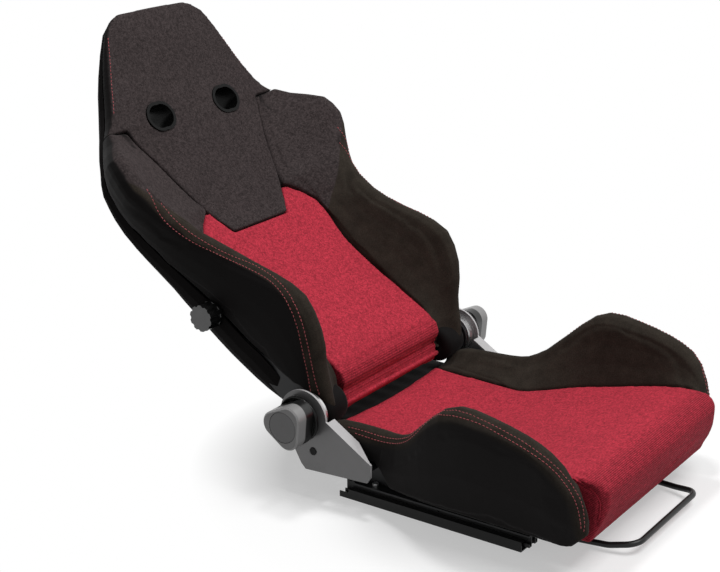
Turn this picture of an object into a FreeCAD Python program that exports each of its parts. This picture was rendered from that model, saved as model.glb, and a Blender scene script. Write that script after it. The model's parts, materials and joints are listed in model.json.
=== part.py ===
import FreeCAD, Part
import os
from math import atan2, cos, degrees, pi, radians, sin, sqrt, tan

import Sketcher
from FreeCAD import Placement, Rotation, Vector

# A reclining bucket-style racing seat on slider rails.
# Frame: +X to the occupant's left, the seat faces -Y, +Z up. The origin lies on the floor, at the centre of
# the four bolt holes of the rails. "Right" is the occupant's right, at -X. Sizes are in millimetres.

DIMENSIONS = [
    ("bracket_span", 480, "between the middles of the two recline brackets"),
    ("rail_gauge", 368, "between the centre lines of the two rails"),
    ("rail_length", 346, "lower rail"),
    ("rail_width", 38, "lower rail, outside"),
    ("rail_height", 17, "lower rail, outside"),
    ("rail_sheet", 2, "sheet of the rails"),
    ("lip_gap", 16, "between the two lips of the lower rail"),
    ("lip_depth", 5, "down-turned edge of a lip"),
    ("tail_length", 18, "cut-back rear end of the lower rail"),
    ("tail_height", 10, "what is left of its walls there"),
    ("floor_hole_radius", 4.5, "for M8 bolts"),
    ("floor_hole_pitch", 320, "between front and rear floor holes"),
    ("window_pitch", 14, "latch windows along the inner lip"),
    ("window_length", 8, "one latch window"),
    ("window_count", 15, "latch windows in each rail"),
    ("upper_length", 350, "upper rail"),
    ("upper_shift", -9, "middle of the upper rail ahead of the lower one at rest"),
    ("upper_height", 27, "top of the upper rail"),
    ("slide_gap", 0.8, "between the sheets of the two rails"),
    ("roller_radius", 3.05, "rollers under the upper rail"),
    ("roller_gap", 0.05, "running clearance of rollers and balls"),
    ("ball_radius", 1.98, "balls under the lips"),
    ("cage_length", 180, "roller cage"),
    ("cage_sheet", 1, "sheet of the cage"),
    ("seat_pan_height", 48, "underside of the seat pan"),
    ("pan_sheet", 2, "sheet of the seat pan"),
    ("side_sheet", 3, "base side plates"),
    ("cross_tube_radius", 10, "base cross tubes"),
    ("cross_tube_wall", 1.5, "wall of the base cross tubes"),
    ("front_tube_y", 112, "front cross tube"),
    ("front_tube_z", 72, "front cross tube"),
    ("rear_tube_y", 190, "rear cross tube"),
    ("rear_tube_z", 68, "rear cross tube"),
    ("pivot_y", 218, "recline axis behind the origin"),
    ("pivot_z", 147, "recline axis above the floor"),
    ("recline_angle", 40.94, "backrest behind the vertical at rest"),
    ("bracket_sheet", 4, "recline bracket"),
    ("bracket_boss_radius", 46, "round end of the bracket"),
    ("bracket_flange", 20, "widest width of the top flange"),
    ("bracket_hole_radius", 5.5, "accessory hole in the bracket"),
    ("rod_radius", 5, "shaft between the recliners"),
    ("rod_gap", 0.06, "running clearance of the shaft"),
    ("disc_radius", 38, "recliner discs"),
    ("disc_depth", 8, "each recliner disc"),
    ("disc_gap", 0.3, "between the two discs of a recliner"),
    ("arm_sheet", 4, "back arms"),
    ("bezel_radius", 44, "round cover behind a knob"),
    ("bezel_depth", 24, "round cover behind a knob"),
    ("bezel_wall", 2.5, "round cover behind a knob"),
    ("knob_reach", 40, "lobe of the recline knob from its axis"),
    ("knob_lobe_radius", 22, "rounding of a lobe"),
    ("knob_depth", 40, "recline knob along its axis"),
    ("knob_gap", 16, "knob behind the bracket's outer face"),
    ("cap_radius", 26.5, "cap in the recline knob"),
    ("cap_depth", 3.5, "cap in the recline knob"),
    ("lumbar_height", 231, "lumbar knob up the backrest"),
    ("lumbar_depth", 60, "lumbar axis behind the back line"),
    ("lumbar_radius", 23, "lumbar knob"),
    ("lumbar_length", 32, "lumbar knob"),
    ("spindle_radius", 5, "lumbar shaft"),
    ("cam_radius", 10, "lumbar cams"),
    ("cam_offset", 4.5, "eccentricity of the lumbar cams"),
    ("back_height", 783, "recline axis to the top of the head pad"),
    ("frame_tube_radius", 9, "backrest frame"),
    ("frame_tube_wall", 1.5, "backrest frame"),
    ("shell_wall", 2.5, "backrest shell"),
    ("foam_gap", 0.4, "between soft pieces and their neighbours"),
    ("slot_height", 591, "harness openings up the backrest"),
    ("slot_spacing", 179.4, "between the harness openings"),
    ("slot_width", 58, "harness opening"),
    ("slot_tall", 42, "harness opening"),
    ("sleeve_wall", 2.5, "harness sleeve"),
    ("cushion_front", -293, "lower front edge of the cushion"),
    ("cushion_rear", 211, "rear end of the cushion"),
    ("cushion_height", 108, "seam of the cushion at its rear"),
    ("bar_radius", 5, "slide bar"),
    ("bar_front", -326, "slide bar, straight front"),
    ("lever_pivot_y", -14, "hinge of the slide lever"),
    ("lever_pivot_z", 22, "hinge of the slide lever"),
    ("pin_radius", 2.5, "hinge pin of the slide lever"),
    ("bolt_radius", 3, "M6 bolts of the base"),
    ("bolt_offset", 2, "base bolts outside the rail centre lines"),
]

doc = FreeCAD.newDocument("racing_seat")
sheet = doc.addObject("Spreadsheet::Sheet", "Dims")
for row, (alias, number, meaning) in enumerate(DIMENSIONS, start=1):
    sheet.set("A%d" % row, alias)
    sheet.set("B%d" % row, str(number))
    sheet.setAlias("B%d" % row, alias)
    sheet.set("C%d" % row, meaning)
doc.recompute()

SIDES = (("right", -1), ("left", 1))
subparts = []


def size(expression):
    """The value of an expression in the sheet's names, such as 'rail_width / 2'."""
    return float(sheet.evalExpression(expression))


def keep(thing, label):
    """Give a sub-part its name and put it on the list of what is exported."""
    thing.Label = label
    subparts.append(thing)
    return thing


def solid_part(label, shape):
    """A sub-part whose form is lofted or swept in code."""
    part = doc.addObject("Part::Feature", "form_" + label)
    part.Shape = shape
    part.Placement = shape.Placement
    return keep(part, label)


# Sketches and features bound to the sheet


def new_sketch(body, name, role, offset=Placement()):
    plane = [feature for feature in body.Origin.OriginFeatures if feature.Role == role][0]
    sketch = body.newObject("Sketcher::SketchObject", body.Name + "_" + name)
    sketch.AttachmentSupport = [(plane, "")]
    sketch.MapMode = "FlatFace"
    sketch.AttachmentOffset = offset
    return sketch


def pin_point(sketch, geometry, position, x_text, y_text):
    """Hold a point of the sketch at two expressions."""
    for kind, text in (("DistanceX", x_text), ("DistanceY", y_text)):
        index = sketch.addConstraint(Sketcher.Constraint(kind, -1, 1, geometry, position, size(text)))
        sketch.setExpression("Constraints[%d]" % index, text)


def draw_outline(sketch, corners):
    """A closed outline of straight lines, each corner given as two expressions."""
    points = [Vector(size(x_text), size(y_text), 0) for x_text, y_text in corners]
    first = sketch.GeometryCount
    count = len(points)
    for k in range(count):
        sketch.addGeometry(Part.LineSegment(points[k], points[(k + 1) % count]), False)
    for k in range(count):
        following = first + (k + 1) % count
        sketch.addConstraint(Sketcher.Constraint("Coincident", first + k, 2, following, 1))
    for k, (x_text, y_text) in enumerate(corners):
        pin_point(sketch, first + k, 1, x_text, y_text)


def draw_circle(sketch, x_text, y_text, radius_text):
    centre = Vector(size(x_text), size(y_text), 0)
    circle = Part.Circle(centre, Vector(0, 0, 1), size(radius_text))
    index = sketch.addGeometry(circle, False)
    pin_point(sketch, index, 3, x_text, y_text)
    radius = sketch.addConstraint(Sketcher.Constraint("Radius", index, size(radius_text)))
    sketch.setExpression("Constraints[%d]" % radius, radius_text)


def draw_box(sketch, x_low, x_high, y_low, y_high):
    draw_outline(sketch, [(x_low, y_low), (x_high, y_low), (x_high, y_high), (x_low, y_high)])


def add_feature(body, kind, name, sketch, length, both_ways=False, backwards=False):
    """A pad or pocket of a sketch, its length an expression; the solid has to change."""
    before = body.Shape.Volume if body.Tip else 0
    feature = body.newObject("PartDesign::" + kind, body.Name + "_" + name)
    feature.Profile = sketch
    feature.setExpression("Length", length)
    if both_ways:
        feature.SideType = "Symmetric"
    feature.Reversed = backwards
    doc.recompute()
    if abs(body.Shape.Volume - before) < 0.01:
        raise ValueError("%s changes nothing on %s" % (name, body.Label))
    return feature


def new_body(label, place=Placement()):
    body = doc.addObject("PartDesign::Body", label)
    body.Placement = place
    return keep(body, label)


def at(x, y, z):
    return Placement(Vector(x, y, z), Rotation())


# Rails: the lower one is a channel with rolled lips, the upper one a hat section hooked under them

HALF_RAIL = "Dims.rail_width / 2"
HALF_GAP = "Dims.lip_gap / 2"
RAIL_TOP = "Dims.rail_height"
SHEET = "Dims.rail_sheet"
WEB = "(Dims.lip_gap / 2 - Dims.slide_gap)"
FOOT_LOW = "(Dims.rail_sheet + 2 * Dims.roller_radius + 2 * Dims.roller_gap)"
FOOT_IN = "(Dims.rail_width / 2 - 2 * Dims.rail_sheet - 2 * Dims.ball_radius - 2 * Dims.roller_gap)"
FOOT_TOP = "(Dims.rail_height - Dims.rail_sheet - Dims.slide_gap)"
BALL_HEIGHT = "(Dims.rail_height - Dims.rail_sheet - Dims.ball_radius - Dims.roller_gap)"
BALL_SIDE = "(Dims.rail_width / 2 - Dims.rail_sheet - Dims.ball_radius - Dims.roller_gap)"
# Along the cage, as shares of its length
ROLLER_PLACES = (-0.4, 0, 0.4)
BALL_PLACES = (-0.3, 0.3)


def mirrored(corners):
    """Close a half outline, given from the middle outwards and back, with its mirror image."""
    return corners + [("-(" + x_text + ")", y_text) for x_text, y_text in reversed(corners)]


def lower_rail(label, side):
    body = new_body(label, at(side * size("Dims.rail_gauge / 2"), 0, 0))
    inside = HALF_RAIL + " - " + SHEET
    hem_low = RAIL_TOP + " - Dims.lip_depth"
    outer = [
        (HALF_GAP, RAIL_TOP),
        (HALF_GAP, hem_low),
        (HALF_GAP + " + " + SHEET, hem_low),
        (HALF_GAP + " + " + SHEET, RAIL_TOP + " - " + SHEET),
        (inside, RAIL_TOP + " - " + SHEET),
        (inside, SHEET),
    ]
    wall = [(HALF_RAIL, "0"), (HALF_RAIL, RAIL_TOP)]
    left = [("-(" + x_text + ")", y_text) for x_text, y_text in outer]
    left_wall = [("-(" + x_text + ")", y_text) for x_text, y_text in wall]
    section = new_sketch(body, "section", "XZ_Plane")
    draw_outline(section, wall + outer + left[::-1] + left_wall[::-1])
    add_feature(body, "Pad", "profile", section, "Dims.rail_length", both_ways=True)

    tail = new_sketch(body, "tail", "YZ_Plane")
    rail_end = "Dims.rail_length / 2"
    draw_box(tail, rail_end + " - Dims.tail_length", rail_end + " + 1", "Dims.tail_height", RAIL_TOP + " + 1")
    add_feature(body, "Pocket", "cut_back", tail, "Dims.rail_width * 2", both_ways=True)

    holes = new_sketch(body, "holes", "XY_Plane")
    for end in ("-", ""):
        draw_circle(holes, "0", end + "Dims.floor_hole_pitch / 2", "Dims.floor_hole_radius")
    add_feature(body, "Pocket", "floor_holes", holes, "Dims.rail_sheet * 4", both_ways=True)

    window = new_sketch(body, "window", "XY_Plane", at(0, 0, size("Dims.rail_height + 1")))
    sign = "" if side < 0 else "-"
    low, high = sorted(
        (sign + "(" + HALF_GAP + " + Dims.rail_sheet + 0.3)", sign + "(" + inside + " - 0.6)"), key=size
    )
    start = "-Dims.window_pitch * (Dims.window_count + 8) / 2 + Dims.window_pitch / 2"
    draw_box(window, low, high, start, start + " + Dims.window_length")
    first = add_feature(body, "Pocket", "latch_window", window, "Dims.rail_sheet * 2", both_ways=True)
    pattern = body.newObject("PartDesign::LinearPattern", label + "_windows")
    pattern.Originals = [first]
    pattern.Direction = (window, ["V_Axis"])
    pattern.setExpression("Length", "Dims.window_pitch * (Dims.window_count - 1)")
    pattern.Occurrences = int(size("Dims.window_count"))
    body.Tip = pattern


def upper_rail(label, side):
    place = at(side * size("Dims.rail_gauge / 2"), size("Dims.upper_shift"), 0)
    body = new_body(label, place)
    half = [
        (WEB, "Dims.upper_height"),
        (WEB, FOOT_LOW + " + " + SHEET),
        (FOOT_IN, FOOT_LOW + " + " + SHEET),
        (FOOT_IN, FOOT_TOP),
        (FOOT_IN + " + " + SHEET, FOOT_TOP),
        (FOOT_IN + " + " + SHEET, FOOT_LOW),
        (WEB + " - " + SHEET, FOOT_LOW),
        (WEB + " - " + SHEET, "Dims.upper_height - " + SHEET),
    ]
    section = new_sketch(body, "section", "XZ_Plane")
    draw_outline(section, mirrored(half))
    add_feature(body, "Pad", "profile", section, "Dims.upper_length", both_ways=True)

    tabs = new_sketch(body, "tabs", "YZ_Plane", at(0, 0, side * size(WEB + " - Dims.rail_sheet / 2")))
    tab_height = "Dims.upper_height + 2.5 * Dims.rail_sheet"
    for tab in range(2):
        rear = "Dims.upper_length / 2 - %d * Dims.rail_sheet" % (tab * 5)
        draw_box(tabs, rear + " - 2 * Dims.rail_sheet", rear, "Dims.upper_height - 1", tab_height)
    add_feature(body, "Pad", "rear_tabs", tabs, SHEET, both_ways=True)

    pin_hole = new_sketch(body, "pin_hole", "YZ_Plane")
    draw_circle(pin_hole, "Dims.lever_pivot_y - Dims.upper_shift", "Dims.lever_pivot_z", "Dims.pin_radius")
    bolt_holes = new_sketch(body, "bolt_holes", "XY_Plane")
    for end in ("-", ""):
        across = ("" if side > 0 else "-") + "Dims.bolt_offset"
        along_rail = end + "Dims.front_tube_y - Dims.upper_shift"
        draw_circle(bolt_holes, across, along_rail, "Dims.bolt_radius + 0.05")
    add_feature(body, "Pocket", "bolt_holes_cut", bolt_holes, "Dims.upper_height * 3", both_ways=True)
    add_feature(body, "Pocket", "pin_hole_cut", pin_hole, "Dims.rail_width", both_ways=True)


def roller_cage(label, side):
    body = new_body(label, at(side * size("Dims.rail_gauge / 2"), size("Dims.upper_shift"), 0))
    inner = "(" + HALF_RAIL + " - " + SHEET + " - Dims.ball_radius - Dims.cage_sheet / 2)"
    low = "(" + SHEET + " + Dims.roller_radius - Dims.cage_sheet / 2)"
    top = "(" + RAIL_TOP + " - " + SHEET + " - 0.5)"
    half = [
        (inner + " + Dims.cage_sheet", low),
        (inner + " + Dims.cage_sheet", top),
        (inner, top),
        (inner, low + " + Dims.cage_sheet"),
    ]
    section = new_sketch(body, "section", "XZ_Plane")
    draw_outline(section, mirrored(half))
    add_feature(body, "Pad", "strip", section, "Dims.cage_length", both_ways=True)
    windows = new_sketch(body, "windows", "XY_Plane")
    for place in ROLLER_PLACES:
        middle = "Dims.cage_length * %g" % place
        reach = "(Dims.roller_radius + 0.3)"
        across = "(%s + 0.5)" % FOOT_IN
        draw_box(windows, "-" + across, across, middle + " - " + reach, middle + " + " + reach)
    add_feature(body, "Pocket", "roller_windows", windows, "Dims.rail_height * 2", both_ways=True)
    pockets = new_sketch(body, "ball_pockets", "YZ_Plane")
    for place in BALL_PLACES:
        draw_circle(pockets, "Dims.cage_length * %g" % place, BALL_HEIGHT, "Dims.ball_radius + 0.12")
    add_feature(body, "Pocket", "ball_pockets_cut", pockets, "Dims.rail_width", both_ways=True)


for name, side in SIDES:
    lower_rail("lower_rail_" + name, side)
    upper_rail("upper_rail_" + name, side)
    roller_cage("roller_cage_" + name, side)


def faceted_ball(radius, centre):
    """A ball with few faces: twelve-sided slices stacked along Y, the widest band flat at the true radius."""
    slices = []
    for angle in (-70, -42, -15, 15, 42, 70):
        reach = radius / cos(radians(15)) * cos(radians(angle))
        y = radius * sin(radians(angle)) / sin(radians(70))
        around = [radians(30 * k + 15) for k in range(13)]
        slices.append(Part.makePolygon([Vector(reach * cos(a), y, reach * sin(a)) for a in around]))
    ball = Part.makeLoft(slices, True, True)
    ball.translate(centre)
    return ball


rollers = []
balls = []
for name, side in SIDES:
    rail_x = side * size("Dims.rail_gauge / 2")
    for place in ROLLER_PLACES:
        y = size("Dims.upper_shift + Dims.cage_length * %g" % place)
        z = size("Dims.rail_sheet + Dims.roller_radius + Dims.roller_gap")
        reach = size(FOOT_IN)
        start = Vector(rail_x - reach, y, z)
        rollers.append(Part.makeCylinder(size("Dims.roller_radius"), 2 * reach, start, Vector(1, 0, 0)))
    for place in BALL_PLACES:
        for edge in (-1, 1):
            y = size("Dims.upper_shift + Dims.cage_length * %g" % place)
            centre = Vector(rail_x + edge * size(BALL_SIDE), y, size(BALL_HEIGHT))
            balls.append(faceted_ball(size("Dims.ball_radius"), centre))
solid_part("rail_rollers", Part.makeCompound(rollers))
solid_part("rail_balls", Part.makeCompound(balls))


# Base frame: side plates on the upper rails, two cross tubes between the brackets, and the seat pan

SIDE_IN = "(Dims.rail_gauge / 2 - Dims.lip_gap / 2)"
FRAME_FRONT = "(Dims.cushion_front + 48)"
PLATE_REAR = "(Dims.rear_tube_y + Dims.cross_tube_radius + 6)"
PAN_REAR = "(Dims.front_tube_y - 4.5 * Dims.cross_tube_radius)"


def side_plate(label, side):
    body = new_body(label)
    plate = new_sketch(body, "plate", "YZ_Plane", at(0, 0, side * size(SIDE_IN + " + Dims.side_sheet / 2")))
    rail_top = "Dims.upper_height"
    pan = "Dims.seat_pan_height"
    crest = "(Dims.front_tube_z + Dims.cross_tube_radius + 4)"
    outline = [
        (FRAME_FRONT, rail_top),
        (PLATE_REAR, rail_top),
        (PLATE_REAR, crest),
        ("Dims.front_tube_y - Dims.cross_tube_radius - 6", crest),
        (PAN_REAR, pan),
        (FRAME_FRONT, pan),
    ]
    draw_outline(plate, outline)
    add_feature(body, "Pad", "plate_pad", plate, "Dims.side_sheet", both_ways=True)

    flange = new_sketch(body, "flange", "XY_Plane", at(0, 0, size(rail_top)))
    sign = "" if side > 0 else "-"
    inner = sign + SIDE_IN
    outer = sign + "(" + SIDE_IN + " + 24)"
    low, high = sorted((inner, outer), key=size)
    draw_box(flange, low, high, FRAME_FRONT + " + 60", PLATE_REAR + " - 60")
    add_feature(body, "Pad", "foot", flange, "Dims.side_sheet")

    shelf = new_sketch(body, "shelf", "XY_Plane", at(0, 0, size(pan)))
    inner = sign + "(" + SIDE_IN + " - 14)"
    outer = sign + "(" + SIDE_IN + " + Dims.side_sheet)"
    low, high = sorted((inner, outer), key=size)
    draw_box(shelf, low, high, FRAME_FRONT, PAN_REAR)
    add_feature(body, "Pad", "pan_shelf", shelf, "Dims.side_sheet", backwards=True)

    tubes = new_sketch(body, "tubes", "YZ_Plane")
    for end in ("front", "rear"):
        radius = "Dims.cross_tube_radius + 0.05"
        draw_circle(tubes, "Dims.%s_tube_y" % end, "Dims.%s_tube_z" % end, radius)
    add_feature(body, "Pocket", "tube_holes", tubes, "Dims.bracket_span * 2", both_ways=True)

    bolts = new_sketch(body, "bolts", "XY_Plane")
    for end in ("-", ""):
        centre = sign + "(Dims.rail_gauge / 2 + Dims.bolt_offset)"
        draw_circle(bolts, centre, end + "Dims.front_tube_y", "Dims.bolt_radius + 0.05")
    add_feature(body, "Pocket", "bolt_holes", bolts, "Dims.upper_height * 3", both_ways=True)


def cross_tube(end):
    label = end + "_cross_tube"
    body = new_body(label)
    section = new_sketch(body, "section", "YZ_Plane")
    radius = "Dims.cross_tube_radius"
    draw_circle(section, "Dims.%s_tube_y" % end, "Dims.%s_tube_z" % end, radius)
    draw_circle(section, "Dims.%s_tube_y" % end, "Dims.%s_tube_z" % end, radius + " - Dims.cross_tube_wall")
    length = "Dims.bracket_span - Dims.bracket_sheet"
    add_feature(body, "Pad", "tube", section, length, both_ways=True)


def seat_pan():
    """A sheet on the side plates that reaches out under the bolsters."""
    body = new_body("seat_pan")
    outline = new_sketch(body, "outline", "XY_Plane", at(0, 0, size("Dims.seat_pan_height")))
    half = SIDE_IN
    reach = "(Dims.bracket_span / 2 - 30)"
    rear = PAN_REAR
    draw_box(outline, "-" + reach, reach, FRAME_FRONT + " + 4", rear)
    add_feature(body, "Pad", "sheet_metal", outline, "Dims.pan_sheet")
    lights = new_sketch(body, "lightening_holes", "XY_Plane", at(0, 0, size("Dims.seat_pan_height")))
    for column in (-1, 0, 1):
        for row in (-1, 1):
            middle = "(%s + %s) / 2" % (FRAME_FRONT, rear)
            across = "%d * %s * 0.56" % (column, half)
            draw_circle(lights, across, "%s + %d * %s * 0.4" % (middle, row, half), "22")
    add_feature(body, "Pocket", "lightening", lights, "Dims.upper_height", both_ways=True)


for name, side in SIDES:
    side_plate("side_plate_" + name, side)
for end in ("front", "rear"):
    cross_tube(end)
seat_pan()


def hex_prism(across_flats, height, foot, direction):
    corner = across_flats / sqrt(3)
    turn = Rotation(Vector(0, 0, 1), direction)
    ring = [Vector(corner * cos(radians(60 * k)), corner * sin(radians(60 * k)), 0) for k in range(7)]
    prism = Part.Face(Part.makePolygon(ring)).extrude(Vector(0, 0, height))
    prism.Placement = Placement(foot, turn)
    return prism


def bolt(seat, direction, radius, grip):
    """A hexagon bolt: its head stands on the seat, its shank runs back by the grip."""
    head = hex_prism(radius * 3.25, radius * 1.3, seat, direction)
    shank = Part.makeCylinder(radius, grip + 1, seat + direction * 1, direction * -1)
    return head.fuse(shank)


bolts = []
for name, side in SIDES:
    for y in (-size("Dims.front_tube_y"), size("Dims.front_tube_y")):
        across = side * size("Dims.rail_gauge / 2 + Dims.bolt_offset")
        seat = Vector(across, y, size("Dims.upper_height + Dims.side_sheet"))
        bolts.append(bolt(seat, Vector(0, 0, 1), size("Dims.bolt_radius"), size("Dims.side_sheet + 5")))
solid_part("base_bolts", Part.makeCompound(bolts))


# Recline brackets: a plate with a round upper end and a flange that is folded inwards along its top edge

BRACKET_FRONT = 84
BRACKET_FRONT_TOP = 94
BRACKET_TOP_REAR = 199
BRACKET_TOP_REAR_HEIGHT = 164
BRACKET_HOLE_Y = 198
BRACKET_HOLE_Z = 90


def touch_point(outside, centre, radius, turn):
    """Where the tangent from a point meets a circle; turn +1 or -1 picks the side."""
    away = outside - centre
    distance = away.Length
    swing = turn * degrees(atan2(sqrt(distance ** 2 - radius ** 2), radius))
    arm = Rotation(Vector(1, 0, 0), swing).multVec(away)
    return centre + arm * (radius / distance)


def recline_bracket(label, side):
    pivot = Vector(0, size("Dims.pivot_y"), size("Dims.pivot_z"))
    radius = size("Dims.bracket_boss_radius")
    shift_y = pivot.y - 218
    shift_z = pivot.z - 147

    def corner(y, z):
        return Vector(0, y + shift_y, z + shift_z)

    front_top = corner(BRACKET_FRONT, BRACKET_FRONT_TOP)
    slope = (corner(BRACKET_TOP_REAR, BRACKET_TOP_REAR_HEIGHT) - front_top).normalize()
    front_low = [corner(BRACKET_FRONT, 72), corner(91, 61)]
    rear_low = [corner(214, 54), corner(223, 63)]
    leave = touch_point(rear_low[1], pivot, radius, 1)
    gap = (front_top - pivot) - slope * (front_top - pivot).dot(slope)
    half_chord = sqrt(radius ** 2 - gap.Length ** 2)
    foot = pivot + gap
    enter = foot - slope * half_chord
    crown = pivot + Vector(0, 0, 1) * radius
    low = Part.makePolygon([leave] + rear_low[::-1] + front_low[::-1] + [front_top, enter])
    round_end = Part.Arc(enter, crown, leave).toShape()
    sheet_depth = size("Dims.bracket_sheet")
    plane_x = side * size("Dims.bracket_span / 2") - sheet_depth / 2
    plate = Part.Face(Part.Wire(low.Edges + [round_end])).extrude(Vector(sheet_depth, 0, 0))
    plate.translate(Vector(plane_x, 0, 0))

    width = size("Dims.bracket_flange")
    start = side * size("Dims.bracket_span / 2")
    long_end = front_top + slope * ((enter - front_top).Length - 2)
    inward = Vector(-side * width, 0, 0)
    base = Vector(start, 0, 0)
    fold = [
        base + front_top,
        base + front_top + slope * 44 + inward,
        base + long_end + inward,
        base + long_end,
        base + front_top,
    ]
    down = slope.cross(Vector(1, 0, 0)).normalize()
    if down.z > 0:
        down = down * -1
    flange = Part.Face(Part.makePolygon(fold)).extrude(down * sheet_depth)
    hole = Part.makeCylinder(
        size("Dims.bracket_hole_radius"), 40,
        corner(BRACKET_HOLE_Y, BRACKET_HOLE_Z) + base - Vector(20, 0, 0),
        Vector(1, 0, 0))
    bore = Part.makeCylinder(
        size("Dims.rod_radius + Dims.rod_gap"), 40, pivot + base - Vector(20, 0, 0), Vector(1, 0, 0))
    solid_part(label, plate.fuse(flange).cut(hole).cut(bore).removeSplitter())


def ring(label, x_low, depth, outer, inner, place=Placement()):
    """A turned disc with a bore about the X axis of its place."""
    body = new_body(label, place)
    section = new_sketch(body, "section", "YZ_Plane", at(0, 0, x_low))
    draw_circle(section, "0", "0", outer)
    draw_circle(section, "0", "0", inner)
    add_feature(body, "Pad", "disc", section, depth)
    return body


PIVOT = Vector(0, size("Dims.pivot_y"), size("Dims.pivot_z"))
TURN = Rotation(Vector(1, 0, 0), -size("Dims.recline_angle"))
AT_PIVOT = Placement(PIVOT, Rotation())
ON_BACK = Placement(PIVOT, TURN)
BORE = "Dims.rod_radius + Dims.rod_gap"
BRACKET_IN = size("Dims.bracket_span / 2 - Dims.bracket_sheet / 2")
BRACKET_OUT = size("Dims.bracket_span / 2 + Dims.bracket_sheet / 2")
DISC = size("Dims.disc_depth")
ARM_DISC_IN = BRACKET_IN - 2 * DISC - size("Dims.disc_gap")
ARM_IN = ARM_DISC_IN - size("Dims.arm_sheet")
FACE_OUT = BRACKET_OUT + size("Dims.knob_gap + Dims.knob_depth")


def low_x(side, near, depth):
    """The lower x of a piece that starts at |x| = near and runs outwards by depth."""
    return near if side > 0 else -near - depth


def recline_knob(label, side):
    """A hand wheel with three lobes, hollow behind, with a recess for its cap."""
    reach = size("Dims.knob_reach")
    lobe = size("Dims.knob_lobe_radius")
    depth = size("Dims.knob_depth")
    centres = [Rotation(Vector(1, 0, 0), 120 * k + 35).multVec(Vector(0, 0, reach - lobe)) for k in range(3)]
    edges = []
    for k in range(3):
        before = (centres[k] - centres[k - 1]).normalize()
        after = (centres[(k + 1) % 3] - centres[k]).normalize()
        across_before = Vector(1, 0, 0).cross(before) * -lobe
        across_after = Vector(1, 0, 0).cross(after) * -lobe
        outward = centres[k] * (1 / centres[k].Length) * lobe
        start = centres[k] + across_before
        end = centres[k] + across_after
        edges.append(Part.Arc(start, centres[k] + outward, end).toShape())
        following = centres[(k + 1) % 3] + across_after
        edges.append(Part.LineSegment(end, following).toShape())
    wheel = Part.Face(Part.Wire(edges)).extrude(Vector(side * depth, 0, 0))

    def on_face(edge):
        return all(abs(vertex.X - side * depth) < 1e-6 for vertex in edge.Vertexes)

    wheel = wheel.makeChamfer(2.5, [edge for edge in wheel.Edges if on_face(edge)])
    axis = Vector(side, 0, 0)
    floor = axis * (depth - size("Dims.cap_depth"))
    recess = Part.makeCylinder(size("Dims.cap_radius + 0.2"), 20, floor, axis)
    hollow = Part.makeCylinder(size("Dims.cap_radius"), depth - 12, Vector(), axis)
    hub = Part.makeCylinder(12, depth - 12, Vector(), axis)
    shaft = Part.makeCylinder(size("Dims.rod_radius") + 0.02, depth - 8, Vector(), axis)
    shape = wheel.cut(recess).cut(hollow.cut(hub)).cut(shaft)
    start = side * (FACE_OUT - depth)
    shape.Placement = Placement(PIVOT + Vector(start, 0, 0), Rotation())
    solid_part(label, shape)


for name, side in SIDES:
    recline_bracket("recline_bracket_" + name, side)
    base_x = low_x(side, BRACKET_IN - DISC, DISC)
    ring("recliner_base_disc_" + name, base_x, "Dims.disc_depth", "Dims.disc_radius", BORE, AT_PIVOT)
    arm_x = low_x(side, ARM_DISC_IN, DISC)
    ring("recliner_arm_disc_" + name, arm_x, "Dims.disc_depth", "Dims.disc_radius - 2", BORE, ON_BACK)
    bezel = ring(
        "recliner_bezel_" + name, low_x(side, BRACKET_OUT, size("Dims.bezel_depth")), "Dims.bezel_depth",
        "Dims.bezel_radius", "Dims.rod_radius + 3", AT_PIVOT)
    mouth = side * (BRACKET_OUT + size("Dims.bezel_depth"))
    cavity = new_sketch(bezel, "cavity", "YZ_Plane", at(0, 0, mouth))
    draw_circle(cavity, "0", "0", "Dims.bezel_radius - Dims.bezel_wall")
    add_feature(
        bezel, "Pocket", "cavity_cut", cavity, "Dims.bezel_depth - Dims.bezel_wall", backwards=side < 0)
    recline_knob("recline_knob_" + name, side)
    cap = Part.makeCylinder(
        size("Dims.cap_radius"), size("Dims.cap_depth"),
        PIVOT + Vector(side * (FACE_OUT - size("Dims.cap_depth")), 0, 0), Vector(side, 0, 0))
    outer = [edge for edge in cap.Edges if edge.Closed and abs(edge.CenterOfMass.x - side * FACE_OUT) < 0.1]
    solid_part("recline_cap_" + name, cap.makeChamfer(1, outer))

rod = new_body("sync_rod", AT_PIVOT)
rod_section = new_sketch(rod, "section", "YZ_Plane")
draw_circle(rod_section, "0", "0", "Dims.rod_radius")
rod_length = "Dims.bracket_span + Dims.bracket_sheet + 2 * (Dims.knob_gap + Dims.knob_depth - 8)"
add_feature(rod, "Pad", "rod", rod_section, rod_length, both_ways=True)


# Slide lever: a bent bar across the front, welded to two arms with teeth over the latch windows

ARM_X = size("Dims.rail_gauge / 2 - Dims.lip_gap / 2 - 5.5")
LATCH_SHEET = 4
LEVER_PIVOT = Vector(0, size("Dims.lever_pivot_y"), size("Dims.lever_pivot_z"))


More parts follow.
